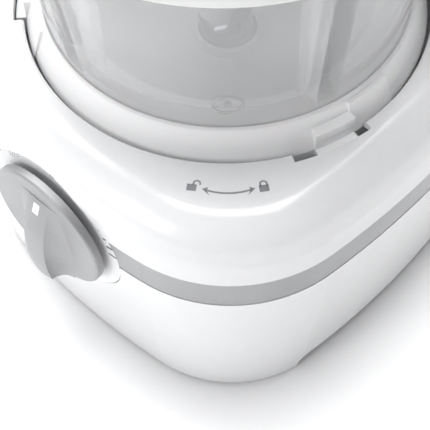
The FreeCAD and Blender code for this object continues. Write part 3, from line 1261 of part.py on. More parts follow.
def cord_gland():
    """The grommet in the rear wall that a mains lead would pass through."""
    wall = BACK_REACH - draft_inset(GLAND_Z) - GLAND_X ** 2 / (2 * FRONT_RADIUS)
    gland = rod_y(GLAND_RADIUS - SEAT_GAP, wall - GLAND_LENGTH, wall + GLAND_PROUD, GLAND_X, GLAND_Z)
    flange = rod_y(GLAND_RADIUS + GLAND_FLANGE, wall - GLAND_LENGTH + 2, wall - LOWER_WALL - 2, GLAND_X, GLAND_Z)
    gland = gland.fuse(flange)
    return gland.cut(rod_y(GLAND_BORE, wall - 20, wall + 5, GLAND_X, GLAND_Z)).removeSplitter()


NODES = {
    "upper_casing": upper_casing,
    "trim_band": trim_band,
    "lower_casing": lower_casing,
    "base_plate": base_plate,
    "rubber_feet": rubber_feet,
    "base_screws": base_screws,
    "bowl_well": bowl_well,
    "shaft_seal": shaft_seal,
    "dial_plate": dial_plate,
    "dial_bracket": dial_bracket,
    "rotary_switch": rotary_switch,
    "switch_nut": switch_nut,
    "control_knob": control_knob,
    "knob_pointer": knob_pointer,
    "knob_shaft": knob_shaft,
    "motor_can": motor_can,
    "motor_end_bell": motor_end_bell,
    "motor_plate": motor_plate,
    "motor_isolators": motor_isolators,
    "motor_bearings": motor_bearings,
    "stator_core": stator_core,
    "rotor_core": rotor_core,
    "motor_shaft": motor_shaft,
    "cooling_fan": cooling_fan,
    "drive_coupling": drive_coupling,
    "jug_coupling": jug_coupling,
    "jug": jug,
    "jug_collar": jug_collar,
    "jug_handle": jug_handle,
    "spindle_bush": spindle_bush,
    "blade_spindle": blade_spindle,
    "blade_hub": blade_hub,
    "lower_blades": lower_blades,
    "upper_blades": upper_blades,
    "blade_nut": blade_nut,
    "lid": lid,
    "lid_seal": lid_seal,
    "lid_cap": lid_cap,
    "tower_shell": tower_shell,
    "tank_lid": tank_lid,
    "tank_lid_pin": tank_lid_pin,
    "water_tank": water_tank,
    "tank_rests": tank_rests,
    "boiler": boiler,
    "boiler_stand": boiler_stand,
    "steam_pipe": steam_pipe,
    "steam_nozzle": steam_nozzle,
    "nozzle_seal": nozzle_seal,
    "feed_pipe": feed_pipe,
    "safety_switch": safety_switch,
    "switch_plunger": switch_plunger,
    "plunger_spring": plunger_spring,
    "circuit_board": circuit_board,
    "board_parts": board_parts,
    "cord_gland": cord_gland,
}


def main():
    """Build every node and write one file each."""
    os.makedirs("parts", exist_ok=True)
    for name, make in NODES.items():
        shape = make()
        shape.translate(Vector(0, CENTRE_SHIFT, 0))
        solids = shape.Solids
        print(name, len(solids), "solids", round(shape.Volume / 1000, 2), "cm3", "valid", shape.isValid())
        shape.exportStep("parts/" + name + ".step")


main()
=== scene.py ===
"""Looks for the baby food maker: finishes, printed marks, moulded details and the studio."""

from __future__ import annotations

import json
import logging
import math
from dataclasses import dataclass
from enum import Enum
from typing import Callable, Iterable, Sequence

import bmesh
import bpy
from mathutils import Matrix, Vector
from mathutils.geometry import tessellate_polygon

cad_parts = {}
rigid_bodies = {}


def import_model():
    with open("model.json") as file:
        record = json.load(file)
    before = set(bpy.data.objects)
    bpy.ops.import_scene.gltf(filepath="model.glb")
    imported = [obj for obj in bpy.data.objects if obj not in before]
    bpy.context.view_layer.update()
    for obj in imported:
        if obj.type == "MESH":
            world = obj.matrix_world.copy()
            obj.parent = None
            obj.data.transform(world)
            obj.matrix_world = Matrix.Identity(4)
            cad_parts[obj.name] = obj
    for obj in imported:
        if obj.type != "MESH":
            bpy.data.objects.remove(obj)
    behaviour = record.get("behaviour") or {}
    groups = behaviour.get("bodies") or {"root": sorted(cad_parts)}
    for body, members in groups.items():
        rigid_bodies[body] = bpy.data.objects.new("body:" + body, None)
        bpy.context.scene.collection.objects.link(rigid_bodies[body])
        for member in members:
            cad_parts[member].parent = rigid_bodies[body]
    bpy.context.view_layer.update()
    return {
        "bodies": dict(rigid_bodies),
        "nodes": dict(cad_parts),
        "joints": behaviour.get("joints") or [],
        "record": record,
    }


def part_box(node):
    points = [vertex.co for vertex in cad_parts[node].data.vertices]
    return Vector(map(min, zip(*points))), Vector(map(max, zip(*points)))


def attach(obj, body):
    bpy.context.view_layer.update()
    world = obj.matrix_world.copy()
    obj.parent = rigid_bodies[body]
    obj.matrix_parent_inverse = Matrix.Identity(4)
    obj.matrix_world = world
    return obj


LOG = logging.getLogger("baby_food_maker")
MM = 0.001
Colour = tuple[float, float, float]
Point = tuple[float, float]
Placer = Callable[[float, float, float], Vector]


# ---- shader graph ---------------------------------------------------------------------------
class Expr:
    """A shader socket that can be used in ordinary arithmetic."""

    def __init__(self, graph: ShaderGraph, socket: bpy.types.NodeSocket) -> None:
        """Wraps one output socket of a graph."""
        self.graph = graph
        self.socket = socket

    def _math(self, operation: str, *values: Expr | float) -> Expr:
        """Adds a Math node.

        Args:
            operation: The node's operation.
            values: Its operands in order.

        Returns:
            The node's output.
        """
        return self.graph.node("ShaderNodeMath", {"operation": operation}, dict(enumerate(values)))

    def __add__(self, other: Expr | float) -> Expr:
        """Sum."""
        return self._math("ADD", self, other)

    def __radd__(self, other: float) -> Expr:
        """Sum with a number first."""
        return self._math("ADD", other, self)

    def __sub__(self, other: Expr | float) -> Expr:
        """Difference."""
        return self._math("SUBTRACT", self, other)

    def __rsub__(self, other: float) -> Expr:
        """Difference from a number."""
        return self._math("SUBTRACT", other, self)

    def __mul__(self, other: Expr | float) -> Expr:
        """Product."""
        return self._math("MULTIPLY", self, other)

    def __rmul__(self, other: float) -> Expr:
        """Product with a number first."""
        return self._math("MULTIPLY", other, self)

    def __truediv__(self, other: Expr | float) -> Expr:
        """Quotient."""
        return self._math("DIVIDE", self, other)

    def __rtruediv__(self, other: float) -> Expr:
        """Quotient of a number."""
        return self._math("DIVIDE", other, self)

    def __pow__(self, other: Expr | float) -> Expr:
        """Power."""
        return self._math("POWER", self, other)

    def __neg__(self) -> Expr:
        """Negative."""
        return self._math("MULTIPLY", self, -1.0)

    def ramp(self, low: float, high: float) -> Expr:
        """The value's place between two limits, from 0 to 1, eased at both ends.

        Args:
            low: The value that gives 0.
            high: The value that gives 1.

        Returns:
            The eased share.
        """
        return self.graph.node("ShaderNodeMapRange", {"interpolation_type": "SMOOTHSTEP"},
                               {"Value": self, "From Min": low, "From Max": high})


class ShaderGraph:
    """A material's node tree, built up in code."""

    def __init__(self, name: str) -> None:
        """Starts an empty material of a given name."""
        self.material = bpy.data.materials.new(name)
        self.material.use_nodes = True
        self.tree = self.material.node_tree
        self.tree.nodes.clear()

    def node(self, kind: str, settings: dict[str, object] | None = None,
             inputs: dict[str | int, object] | None = None, output: str | int = 0) -> Expr:
        """Adds a node, sets it up and wires it.

        Args:
            kind: The node's type.
            settings: Its properties, which are set first.
            inputs: Values or expressions by input name or number.
            output: The output wanted, by name or number.

        Returns:
            The chosen output.
        """
        made = self.tree.nodes.new(kind)
        for key, value in (settings or {}).items():
            setattr(made, key, value)
        for key, value in (inputs or {}).items():
            if isinstance(value, Expr):
                self.tree.links.new(value.socket, made.inputs[key])
            else:
                made.inputs[key].default_value = value
        return Expr(self, made.outputs[output])

    def place(self, stretch: Sequence[float] = (1.0, 1.0, 1.0)) -> Expr:
        """The point on the object in metres, stretched along each axis."""
        point = self.node("ShaderNodeTexCoord", output="Object")
        return self.node("ShaderNodeMapping", None, {"Vector": point, "Scale": tuple(stretch)})

    def noise(self, point: Expr, size: float, detail: float = 2.0, rough: float = 0.5) -> Expr:
        """Soft random variation.

        Args:
            point: Where to read it.
            size: The size of one patch in metres.
            detail: How many finer layers it has.
            rough: How strong the finer layers are.

        Returns:
            A value about 0.5.
        """
        return self.node("ShaderNodeTexNoise", None,
                         {"Vector": point, "Scale": 1.0 / size, "Detail": detail, "Roughness": rough})

    def bands(self, axis: str, size: float) -> Expr:
        """Even bands across one axis, at the size of the grain in metres."""
        return self.node("ShaderNodeTexWave", {"wave_type": "BANDS", "bands_direction": axis},
                         {"Vector": self.place(), "Scale": 0.3 / size}, 1)

    def blend(self, share: Expr | float, first: Colour, second: Colour) -> Expr:
        """Mixes two colours by a share."""
        return self.node("ShaderNodeMix", {"data_type": "RGBA"},
                         {0: share, 6: (*first, 1.0), 7: (*second, 1.0)}, 2)

    def bump(self, height: Expr, depth: float, strength: float = 1.0) -> Expr:
        """Surface relief from a height between 0 and 1 and its depth in metres."""
        return self.node("ShaderNodeBump", None, {"Height": height, "Distance": depth, "Strength": strength})

    def finish(self, surface: Expr) -> bpy.types.Material:
        """Wires a shader to the output and returns the material."""
        end = self.tree.nodes.new("ShaderNodeOutputMaterial")
        self.tree.links.new(surface.socket, end.inputs["Surface"])
        return self.material


class Grain(Enum):
    """How a surface's fine relief runs."""

    POLISHED = "polished"
    SPARKED = "sparked"
    FLAKED = "flaked"
    BRUSHED = "brushed"
    TURNED = "turned"
    CAST = "cast"
    WOVEN = "woven"
    LAMINATED = "laminated"


@dataclass(frozen=True)
class Finish:
    """One material's colour, gloss and relief."""

    slot: str
    colour: Colour
    shade: Colour
    roughness: float
    grain: Grain = Grain.POLISHED
    grain_size: float = 0.0008
    grain_depth: float = 0.00001
    mottle_size: float = 0.02
    metallic: float = 0.0
    coat: float = 0.0
    coat_roughness: float = 0.08
    body: float = 1.0
    edge_body: float = 0.0
    ior: float = 1.5
    specular: float = 0.5
    seep: float = 0.0
    wear: float = 0.0

    def height(self, graph: ShaderGraph) -> Expr:
        """The relief of this finish's grain.

        Args:
            graph: The material being built.

        Returns:
            A height between 0 and 1.
        """
        size = self.grain_size
        if self.grain is Grain.BRUSHED:
            return graph.noise(graph.place((1.0, 1.0, 0.04)), size, 3.0)
        if self.grain is Grain.TURNED:
            across = graph.node("ShaderNodeVectorMath", {"operation": "MULTIPLY"},
                                {0: graph.place(), 1: (1.0, 1.0, 0.0)})
            radius = graph.node("ShaderNodeVectorMath", {"operation": "LENGTH"}, {0: across}, "Value")
            ring = graph.node("ShaderNodeMath", {"operation": "SINE"}, {0: radius * (2.0 * math.pi / size)})
            return 0.5 + 0.3 * ring + 0.2 * (graph.noise(graph.place(), size * 6.0) - 0.5)
        if self.grain is Grain.WOVEN:
            return 0.5 * graph.bands("X", size) + 0.5 * graph.bands("Y", size)
        if self.grain is Grain.LAMINATED:
            return graph.bands("Z", size)
        if self.grain is Grain.FLAKED:
            return graph.node("ShaderNodeTexVoronoi", {"feature": "F1"},
                              {"Vector": graph.place(), "Scale": 1.0 / size, "Randomness": 1.0}, "Distance")
        if self.grain is Grain.CAST:
            return graph.noise(graph.place(), size, 6.0, 0.65)
        if self.grain is Grain.SPARKED:
            return graph.noise(graph.place(), size, 4.0, 0.6)
        return graph.noise(graph.place(), size, 1.0, 0.4)

    def build(self) -> bpy.types.Material:
        """Makes the material."""
        graph = ShaderGraph(self.slot + "_finish")
        grain = self.height(graph)
        mottle = graph.noise(graph.place(), self.mottle_size, 3.0, 0.55)
        share = (mottle * 0.7 + grain * 0.3).ramp(0.3, 0.8)
        rough = self.roughness * (0.9 + 0.2 * mottle)
        if self.wear > 0.0:
            scuff = graph.noise(graph.place(), self.mottle_size * 0.18, 5.0, 0.6).ramp(0.56, 0.74)
            rough = rough * (1.0 + self.wear * scuff)
        values = {
            "Base Color": graph.blend(share, self.colour, self.shade),
            "Roughness": rough,
            "Metallic": self.metallic,
            "IOR": self.ior,
            "Specular IOR Level": self.specular,
            "Coat Weight": self.coat,
            "Coat Roughness": self.coat_roughness,
            "Subsurface Weight": self.seep,
            "Subsurface Scale": 0.002,
            "Normal": graph.bump(grain, self.grain_depth),
        }
        if self.body < 1.0:
            facing = graph.node("ShaderNodeLayerWeight", None, {"Blend": 0.5}, "Facing")
            values["Alpha"] = self.body + self.edge_body * facing ** 2.0
        surface = graph.node("ShaderNodeBsdfPrincipled", None, values)
        return graph.finish(surface)


FINISHES: dict[str, Finish] = {finish.slot: finish for finish in (
    Finish("gloss_white", (0.80, 0.802, 0.805), (0.77, 0.773, 0.778), 0.26, Grain.POLISHED, 0.004, 0.000012,
           0.05, coat=0.35, coat_roughness=0.1),
    Finish("well_white", (0.74, 0.743, 0.748), (0.70, 0.703, 0.708), 0.42, Grain.SPARKED, 0.0007, 0.00002),
    Finish("satin_silver", (0.32, 0.322, 0.33), (0.28, 0.282, 0.29), 0.33, Grain.FLAKED, 0.0006, 0.000006,
           0.03, metallic=0.9, coat=0.2, coat_roughness=0.18),
    Finish("plate_silver", (0.90, 0.902, 0.91), (0.86, 0.862, 0.87), 0.55, Grain.FLAKED, 0.0005, 0.000006,
           0.02),
    Finish("knob_silver", (0.38, 0.382, 0.39), (0.34, 0.342, 0.35), 0.5, Grain.FLAKED, 0.0005, 0.000005,
           0.02, metallic=0.7),
    Finish("pointer_white", (0.92, 0.92, 0.93), (0.89, 0.89, 0.90), 0.3, Grain.SPARKED, 0.0004, 0.000008),
    Finish("print_grey", (0.25, 0.255, 0.27), (0.29, 0.295, 0.31), 0.45, Grain.SPARKED, 0.0002, 0.000003,
           0.004),
    Finish("dial_ink", (0.05, 0.052, 0.056), (0.07, 0.072, 0.076), 0.42, Grain.SPARKED, 0.0002, 0.000003,
           0.004),
    Finish("jug_clear", (0.93, 0.935, 0.94), (0.90, 0.905, 0.915), 0.07, Grain.POLISHED, 0.008, 0.00001,
           0.04, body=0.15, edge_body=0.38, ior=1.5, specular=0.9),
    Finish("jug_witness", (0.62, 0.63, 0.64), (0.58, 0.59, 0.60), 0.2, Grain.POLISHED, 0.004, 0.00001,
           0.02, body=0.55, edge_body=0.3),
    Finish("collar_frost", (0.97, 0.971, 0.973), (0.95, 0.951, 0.955), 0.3, Grain.SPARKED, 0.0006, 0.000006,
           0.03, ior=1.45, seep=0.15),
    Finish("tank_clear", (0.70, 0.80, 0.88), (0.66, 0.77, 0.86), 0.08, Grain.POLISHED, 0.006, 0.00001,
           body=0.35, edge_body=0.5, ior=1.46, specular=0.9),
    Finish("rubber_dark", (0.035, 0.036, 0.038), (0.055, 0.055, 0.058), 0.75, Grain.SPARKED, 0.0009, 0.00004,
           wear=0.2),
    Finish("silicone", (0.62, 0.63, 0.64), (0.56, 0.57, 0.58), 0.5, Grain.SPARKED, 0.0008, 0.00002, seep=0.2),
    Finish("steel", (0.60, 0.60, 0.61), (0.50, 0.50, 0.52), 0.3, Grain.TURNED, 0.0006, 0.000008,
           metallic=1.0),
    Finish("blade_steel", (0.50, 0.505, 0.52), (0.40, 0.405, 0.42), 0.22, Grain.BRUSHED, 0.0004, 0.00001,
           metallic=1.0),
    Finish("zinc_steel", (0.62, 0.63, 0.63), (0.50, 0.52, 0.53), 0.4, Grain.CAST, 0.003, 0.00001,
           metallic=1.0),
    Finish("aluminium", (0.68, 0.685, 0.69), (0.58, 0.585, 0.59), 0.42, Grain.CAST, 0.0012, 0.00005,
           metallic=1.0),
    Finish("laminate", (0.34, 0.34, 0.36), (0.24, 0.24, 0.26), 0.45, Grain.LAMINATED, 0.0005, 0.00003,
           metallic=0.9),
    Finish("bronze", (0.56, 0.40, 0.22), (0.46, 0.31, 0.16), 0.4, Grain.CAST, 0.0006, 0.00002, metallic=1.0),
    Finish("black_plastic", (0.03, 0.031, 0.033), (0.045, 0.046, 0.05), 0.42, Grain.SPARKED, 0.0006, 0.00002),
    Finish("grey_plastic", (0.42, 0.43, 0.44), (0.36, 0.37, 0.38), 0.45, Grain.SPARKED, 0.0006, 0.00002),
    Finish("board_green", (0.03, 0.16, 0.07), (0.02, 0.11, 0.05), 0.35, Grain.WOVEN, 0.0008, 0.00001,
           coat=0.4),
)}

NODE_FINISH: dict[str, str] = {
    "gloss_white": "upper_casing lower_casing lid lid_cap tower_shell tank_lid",
    "satin_silver": "trim_band",
    "plate_silver": "dial_plate",
    "knob_silver": "control_knob",
    "pointer_white": "knob_pointer",
    "well_white": "bowl_well tank_rests",
    "jug_clear": "jug jug_handle",
    "collar_frost": "jug_collar",
    "tank_clear": "water_tank",
    "rubber_dark": "rubber_feet motor_isolators cord_gland shaft_seal",
    "silicone": "lid_seal nozzle_seal feed_pipe",
    "steel": "knob_shaft motor_shaft blade_spindle blade_nut tank_lid_pin plunger_spring motor_bearings",
    "blade_steel": "upper_blades lower_blades",
    "zinc_steel": "dial_bracket motor_plate motor_can base_screws switch_nut steam_nozzle",
    "aluminium": "boiler motor_end_bell steam_pipe",
    "laminate": "stator_core rotor_core",
    "bronze": "spindle_bush",
    "black_plastic": "rotary_switch drive_coupling jug_coupling safety_switch board_parts blade_hub",
    "grey_plastic": "base_plate cooling_fan boiler_stand switch_plunger",
    "board_green": "circuit_board",
}


# ---- geometry nodes -------------------------------------------------------------------------
class GeometryTree:
    """A Geometry Nodes tree built in code, with named inputs, and baked to a plain mesh."""

    def __init__(self, name: str) -> None:
        """Starts an empty tree of a given name."""
        self.tree = bpy.data.node_groups.new(name, "GeometryNodeTree")
        self.tree.interface.new_socket("Geometry", in_out="OUTPUT", socket_type="NodeSocketGeometry")
        self.values: dict[str, float | int] = {}
        self.ids: dict[str, str] = {}
        self.entry: bpy.types.Node | None = None

    def number(self, name: str, value: float | int) -> bpy.types.NodeSocket:
        """Adds a named input.

        Args:
            name: The input's name.
            value: Its value, whose type chooses the socket's.

        Returns:
            The socket that gives it inside the tree.
        """
        kind = "NodeSocketInt" if isinstance(value, int) else "NodeSocketFloat"
        item = self.tree.interface.new_socket(name, in_out="INPUT", socket_type=kind)
        self.ids[name] = item.identifier
        self.values[name] = value
        if self.entry is None:
            self.entry = self.tree.nodes.new("NodeGroupInput")
        return self.entry.outputs[name]

    def add(self, kind: str, settings: dict[str, object] | None = None,
            inputs: dict[str | int, object] | None = None, output: str | int = 0) -> bpy.types.NodeSocket:
        """Adds a node and wires it.

        Args:
            kind: The node's type.
            settings: Its properties, which are set first.
            inputs: Values, sockets or lists of sockets by input name or number.
            output: The output wanted, by name or number.

        Returns:
            The chosen output socket.
        """
        made = self.tree.nodes.new(kind)
        for key, value in (settings or {}).items():
            setattr(made, key, value)
        for key, value in (inputs or {}).items():
            for one in value if isinstance(value, list) else [value]:
                if isinstance(one, bpy.types.NodeSocket):
                    self.tree.links.new(one, made.inputs[key])
                else:
                    made.inputs[key].default_value = one
        return made.outputs[output]

    def maths(self, operation: str, *values: object) -> bpy.types.NodeSocket:
        """A Math node."""
        return self.add("ShaderNodeMath", {"operation": operation}, dict(enumerate(values)))

    def vector(self, x: object = 0.0, y: object = 0.0, z: object = 0.0) -> bpy.types.NodeSocket:
        """A vector of three values."""
        return self.add("ShaderNodeCombineXYZ", None, {"X": x, "Y": y, "Z": z})

    def tablet(self, width: object, length: object, thickness: object,
               corner: object) -> bpy.types.NodeSocket:
        """A closed flat bar with round corners, lying on its middle.

        Args:
            width: Its size along X.
            length: Its size along Y.
            thickness: Its size along Z.
            corner: The radius of its corners.

        Returns:
            Its mesh.
        """
        outline = self.add("GeometryNodeCurvePrimitiveQuadrilateral", None,
                           {"Width": width, "Height": length})
        rounded = self.add("GeometryNodeFilletCurve", {"mode": "POLY"},
                           {"Curve": outline, "Radius": corner, "Count": 4})
        face = self.add("GeometryNodeFillCurve", {"mode": "NGONS"}, {"Curve": rounded})
        raised = self.add("GeometryNodeExtrudeMesh", {"mode": "FACES"},
                          {"Mesh": face, "Offset Scale": thickness, "Individual": False})
        under = self.add("GeometryNodeFlipFaces", None, {"Mesh": face})
        closed = self.add("GeometryNodeJoinGeometry", None, {"Geometry": [raised, under]})
        merged = self.add("GeometryNodeMergeByDistance", None, {"Geometry": closed, "Distance": 1e-6})
        lower = self.maths("MULTIPLY", thickness, -0.5)
        return self.add("GeometryNodeTransform", None,
                        {"Geometry": merged, "Translation": self.vector(z=lower)})

    def bake(self, result: bpy.types.NodeSocket, material: bpy.types.Material, name: str,
             place: Placer | None = None) -> bpy.types.Object:
        """Ends the tree, evaluates it and keeps the result as a plain mesh.

        Args:
            result: The geometry to keep.
            material: Its material.
            name: The piece's name.
            place: Maps each point's local coordinates to the shared frame.

        Returns:
            The finished object.
        """
        real = self.add("GeometryNodeRealizeInstances", None, {"Geometry": result})
        dressed = self.add("GeometryNodeSetMaterial", None, {"Geometry": real, "Material": material})
        end = self.tree.nodes.new("NodeGroupOutput")
        self.tree.links.new(dressed, end.inputs["Geometry"])
        host = bpy.data.objects.new(name + "_host", bpy.data.meshes.new(name + "_seed"))
        bpy.context.scene.collection.objects.link(host)
        modifier = host.modifiers.new("nodes", "NODES")
        modifier.node_group = self.tree
        for key, value in self.values.items():
            modifier[self.ids[key]] = value
        bpy.context.view_layer.update()
        evaluated = host.evaluated_get(bpy.context.evaluated_depsgraph_get())
        mesh = bpy.data.meshes.new_from_object(evaluated)
        host.modifiers.remove(modifier)
        bpy.data.objects.remove(host)
        if place is not None:
            for vertex in mesh.vertices:
                vertex.co = place(*vertex.co)
        return finished(name, mesh, material)


# ---- mesh helpers ---------------------------------------------------------------------------
def finished(name: str, mesh: bpy.types.Mesh, material: bpy.types.Material,
             smooth: bool = False) -> bpy.types.Object:
    """Makes a mesh a linked object with its faces outward and one material.

    Args:
        name: The piece's name.
        mesh: Its mesh.
        material: Its material.
        smooth: Whether it is shaded smooth.

    Returns:
        The object.
    """
    work = bmesh.new()
    work.from_mesh(mesh)
    bmesh.ops.recalc_face_normals(work, faces=work.faces)
    for face in work.faces:
        face.smooth = smooth
    work.to_mesh(mesh)
    work.free()
    mesh.name = name
    mesh.materials.clear()
    mesh.materials.append(material)
    piece = bpy.data.objects.new(name, mesh)
    bpy.context.scene.collection.objects.link(piece)
    return piece


def prisms(name: str, outlines: Iterable[Sequence[Point]], place: Placer, depth: float,
           material: bpy.types.Material) -> bpy.types.Object:
    """Closed flat shapes that stand half their depth above a surface.

    Args:
        name: The piece's name.
        outlines: Each shape's corners in order.
        place: Maps across, up and out to the shared frame.
        depth: How thick the shapes are.
        material: Their material.

    Returns:
        The object.
    """
    work = bmesh.new()
    for outline in outlines:
        back = [work.verts.new(place(u, v, -depth / 2)) for u, v in outline]
        front = [work.verts.new(place(u, v, depth / 2)) for u, v in outline]
        for corners in tessellate_polygon([[Vector((u, v, 0.0)) for u, v in outline]]):
            work.faces.new([front[corner] for corner in corners])
            work.faces.new([back[corner] for corner in reversed(corners)])
        for index in range(len(outline)):
            after = (index + 1) % len(outline)
            work.faces.new((back[index], back[after], front[after], front[index]))
    mesh = bpy.data.meshes.new(name)
    work.to_mesh(mesh)
    work.free()
    return finished(name, mesh, material)


def band(radius: float, width: float, start: float, end: float, steps: int,
         middle: Point = (0.0, 0.0)) -> list[Point]:
    """A curved stroke's outline.

    Args:
        radius: The stroke's middle radius.
        width: Its width.
        start: Its first angle in degrees.
        end: Its last angle in degrees.
        steps: How many straight runs follow the curve.
        middle: The curve's centre.

    Returns:
        The corners, out along the outside and back along the inside.
    """
    corners: list[Point] = []
    for side, order in ((0.5, range(steps + 1)), (-0.5, range(steps, -1, -1))):
        for index in order:
            turn = math.radians(start + (end - start) * index / steps)
            reach = radius + side * width
            corners.append((middle[0] + reach * math.cos(turn), middle[1] + reach * math.sin(turn)))
    return corners


def round_box(width: float, height: float, corner: float, middle: Point = (0.0, 0.0)) -> list[Point]:
    """A rounded rectangle's outline."""
    corners: list[Point] = []
    for sx, sy, first in ((1, 1, 0), (-1, 1, 90), (-1, -1, 180), (1, -1, 270)):
        for step in range(5):
            turn = math.radians(first + step * 22.5)
            corners.append((middle[0] + sx * (width / 2 - corner) + corner * math.cos(turn),
                            middle[1] + sy * (height / 2 - corner) + corner * math.sin(turn)))
    return corners


def lathe(name: str, profile: Sequence[Point], steps: int, material: bpy.types.Material) -> bpy.types.Object:
    """A closed ring swept round the upright axis.

    Args:
        name: The piece's name.
        profile: Radius and height of each corner of its section, as a closed loop.
        steps: How many runs make the full turn.
        material: Its material.

    Returns:
        The object.
    """
    work = bmesh.new()
    rings = []
    for index in range(steps):
        turn = 2 * math.pi * index / steps
        rings.append([work.verts.new((r * math.cos(turn), r * math.sin(turn), z)) for r, z in profile])
    count = len(profile)
    for index in range(steps):
        here, there = rings[index], rings[(index + 1) % steps]
        for corner in range(count):
            after = (corner + 1) % count
            work.faces.new((here[corner], there[corner], there[after], here[after]))
    mesh = bpy.data.meshes.new(name)
    work.to_mesh(mesh)
    work.free()
    return finished(name, mesh, material, smooth=True)


class Palette:
    """Every finish, built once."""

    def __init__(self) -> None:
        """Builds all the materials."""
        self.made = {slot: finish.build() for slot, finish in FINISHES.items()}

    def __getitem__(self, slot: str) -> bpy.types.Material:
        """The material of a slot."""
        return self.made[slot]

    def dress(self, nodes: dict[str, bpy.types.Object]) -> None:
        """Gives every CAD node its finish.

        Args:
            nodes: The CAD nodes by name.
        """
        left = set(nodes)
        for slot, names in NODE_FINISH.items():
            for name in names.split():
                node = nodes[name]
                node.data.materials.clear()
                node.data.materials.append(self[slot])
                left.discard(name)
        for name in sorted(left):
            LOG.warning("%s has no finish", name)


def settle(piece: bpy.types.Object, body: str) -> None:
    """Makes a piece ride on a body and reports it."""
    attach(piece, body)
    LOG.info("%s: %d faces on %s", piece.name, len(piece.data.polygons), body)


# ---- sub-assemblies -------------------------------------------------------------------------
@dataclass
class LockMarks:
    """The padlocks and the double arrow printed on the casing's top, beside the jug."""

    palette: Palette
    axis: Vector
    top: float
    open_angle: float = -55.6
    open_radius: float = 90.3 * MM
    closed_angle: float = -39.6
    closed_radius: float = 90.9 * MM
    lock_width: float = 3.5 * MM
    stroke: float = 0.62 * MM
    film: float = 0.06 * MM
    arrow_angles: tuple[float, float] = (-53.3, -41.5)
    arrow_radius: float = 91.9 * MM
    arrow_bulge: float = 1.5 * MM
    shaft_ends: tuple[float, float] = (0.08, 0.92)
    shaft_steps: int = 16
    barbs: tuple[Point, ...] = ((0.0, 0.0), (0.15, 1.9 * MM), (0.09, 0.0), (0.12, -1.5 * MM))

    def placer(self, radius: float, angle: float) -> Placer:
        """Maps local across, up and out to the top face, with up pointing at the jug's axis."""
        turn = math.radians(angle)
        away = Vector((math.cos(turn), math.sin(turn), 0.0))
        across = Vector((-math.sin(turn), math.cos(turn), 0.0))
        return lambda u, v, w: self.axis + away * (radius - v) + across * u + Vector((0.0, 0.0, self.top + w))

    def padlock(self, lifted: bool) -> list[list[Point]]:
        """A padlock's outlines, its shackle lifted and shifted when open."""
        wide = self.lock_width
        body = round_box(wide, wide * 0.8, wide * 0.05, (0.0, -wide * 0.4))
        loop = wide * 0.34
        shift = wide * 0.47 if lifted else 0.0
        rise = wide * 0.14
        shackle = band(loop, self.stroke, 0.0, 180.0, 12, (shift, rise))
        near = round_box(self.stroke, rise + self.stroke, self.stroke * 0.2,
                         (shift - loop, rise / 2 - self.stroke * 0.3))
        far = round_box(self.stroke, rise if lifted else rise + self.stroke, self.stroke * 0.2,
                        (shift + loop, rise / 2 if lifted else rise / 2 - self.stroke * 0.3))
        return [body, shackle, near, far]

    def arrow(self) -> list[list[Point]]:
        """The double arrow's shaft and heads, in polar places about the jug's axis."""
        first, last = self.arrow_angles

        def spot(share: float, out: float) -> Point:
            """A point by its share along the arrow and its offset outwards."""
            turn = math.radians(first + (last - first) * share)
            reach = self.arrow_radius + self.arrow_bulge * (1.0 - (2.0 * share - 1.0) ** 2) + out
            return reach * math.cos(turn), reach * math.sin(turn)

        start, end = self.shaft_ends
        steps = [start + (end - start) * index / self.shaft_steps for index in range(self.shaft_steps + 1)]
        half = self.stroke * 0.6
        shaft = [spot(share, half) for share in steps] + [spot(share, -half) for share in reversed(steps)]
        heads = [[spot(abs(tip - share), out) for share, out in self.barbs] for tip in (0.0, 1.0)]
        return [shaft, *heads]

    def build(self) -> None:
        """Prints the three marks."""
        ink = self.palette["print_grey"]
        locks = (("open_lock_mark", True, self.open_radius, self.open_angle),
                 ("closed_lock_mark", False, self.closed_radius, self.closed_angle))
        for name, lifted, radius, angle in locks:
            piece = prisms(name, self.padlock(lifted), self.placer(radius, angle), self.film, ink)
            settle(piece, "base")
        flat: Placer = lambda u, v, w: self.axis + Vector((u, v, self.top + w))
        settle(prisms("turn_arrow_mark", self.arrow(), flat, self.film, ink), "base")


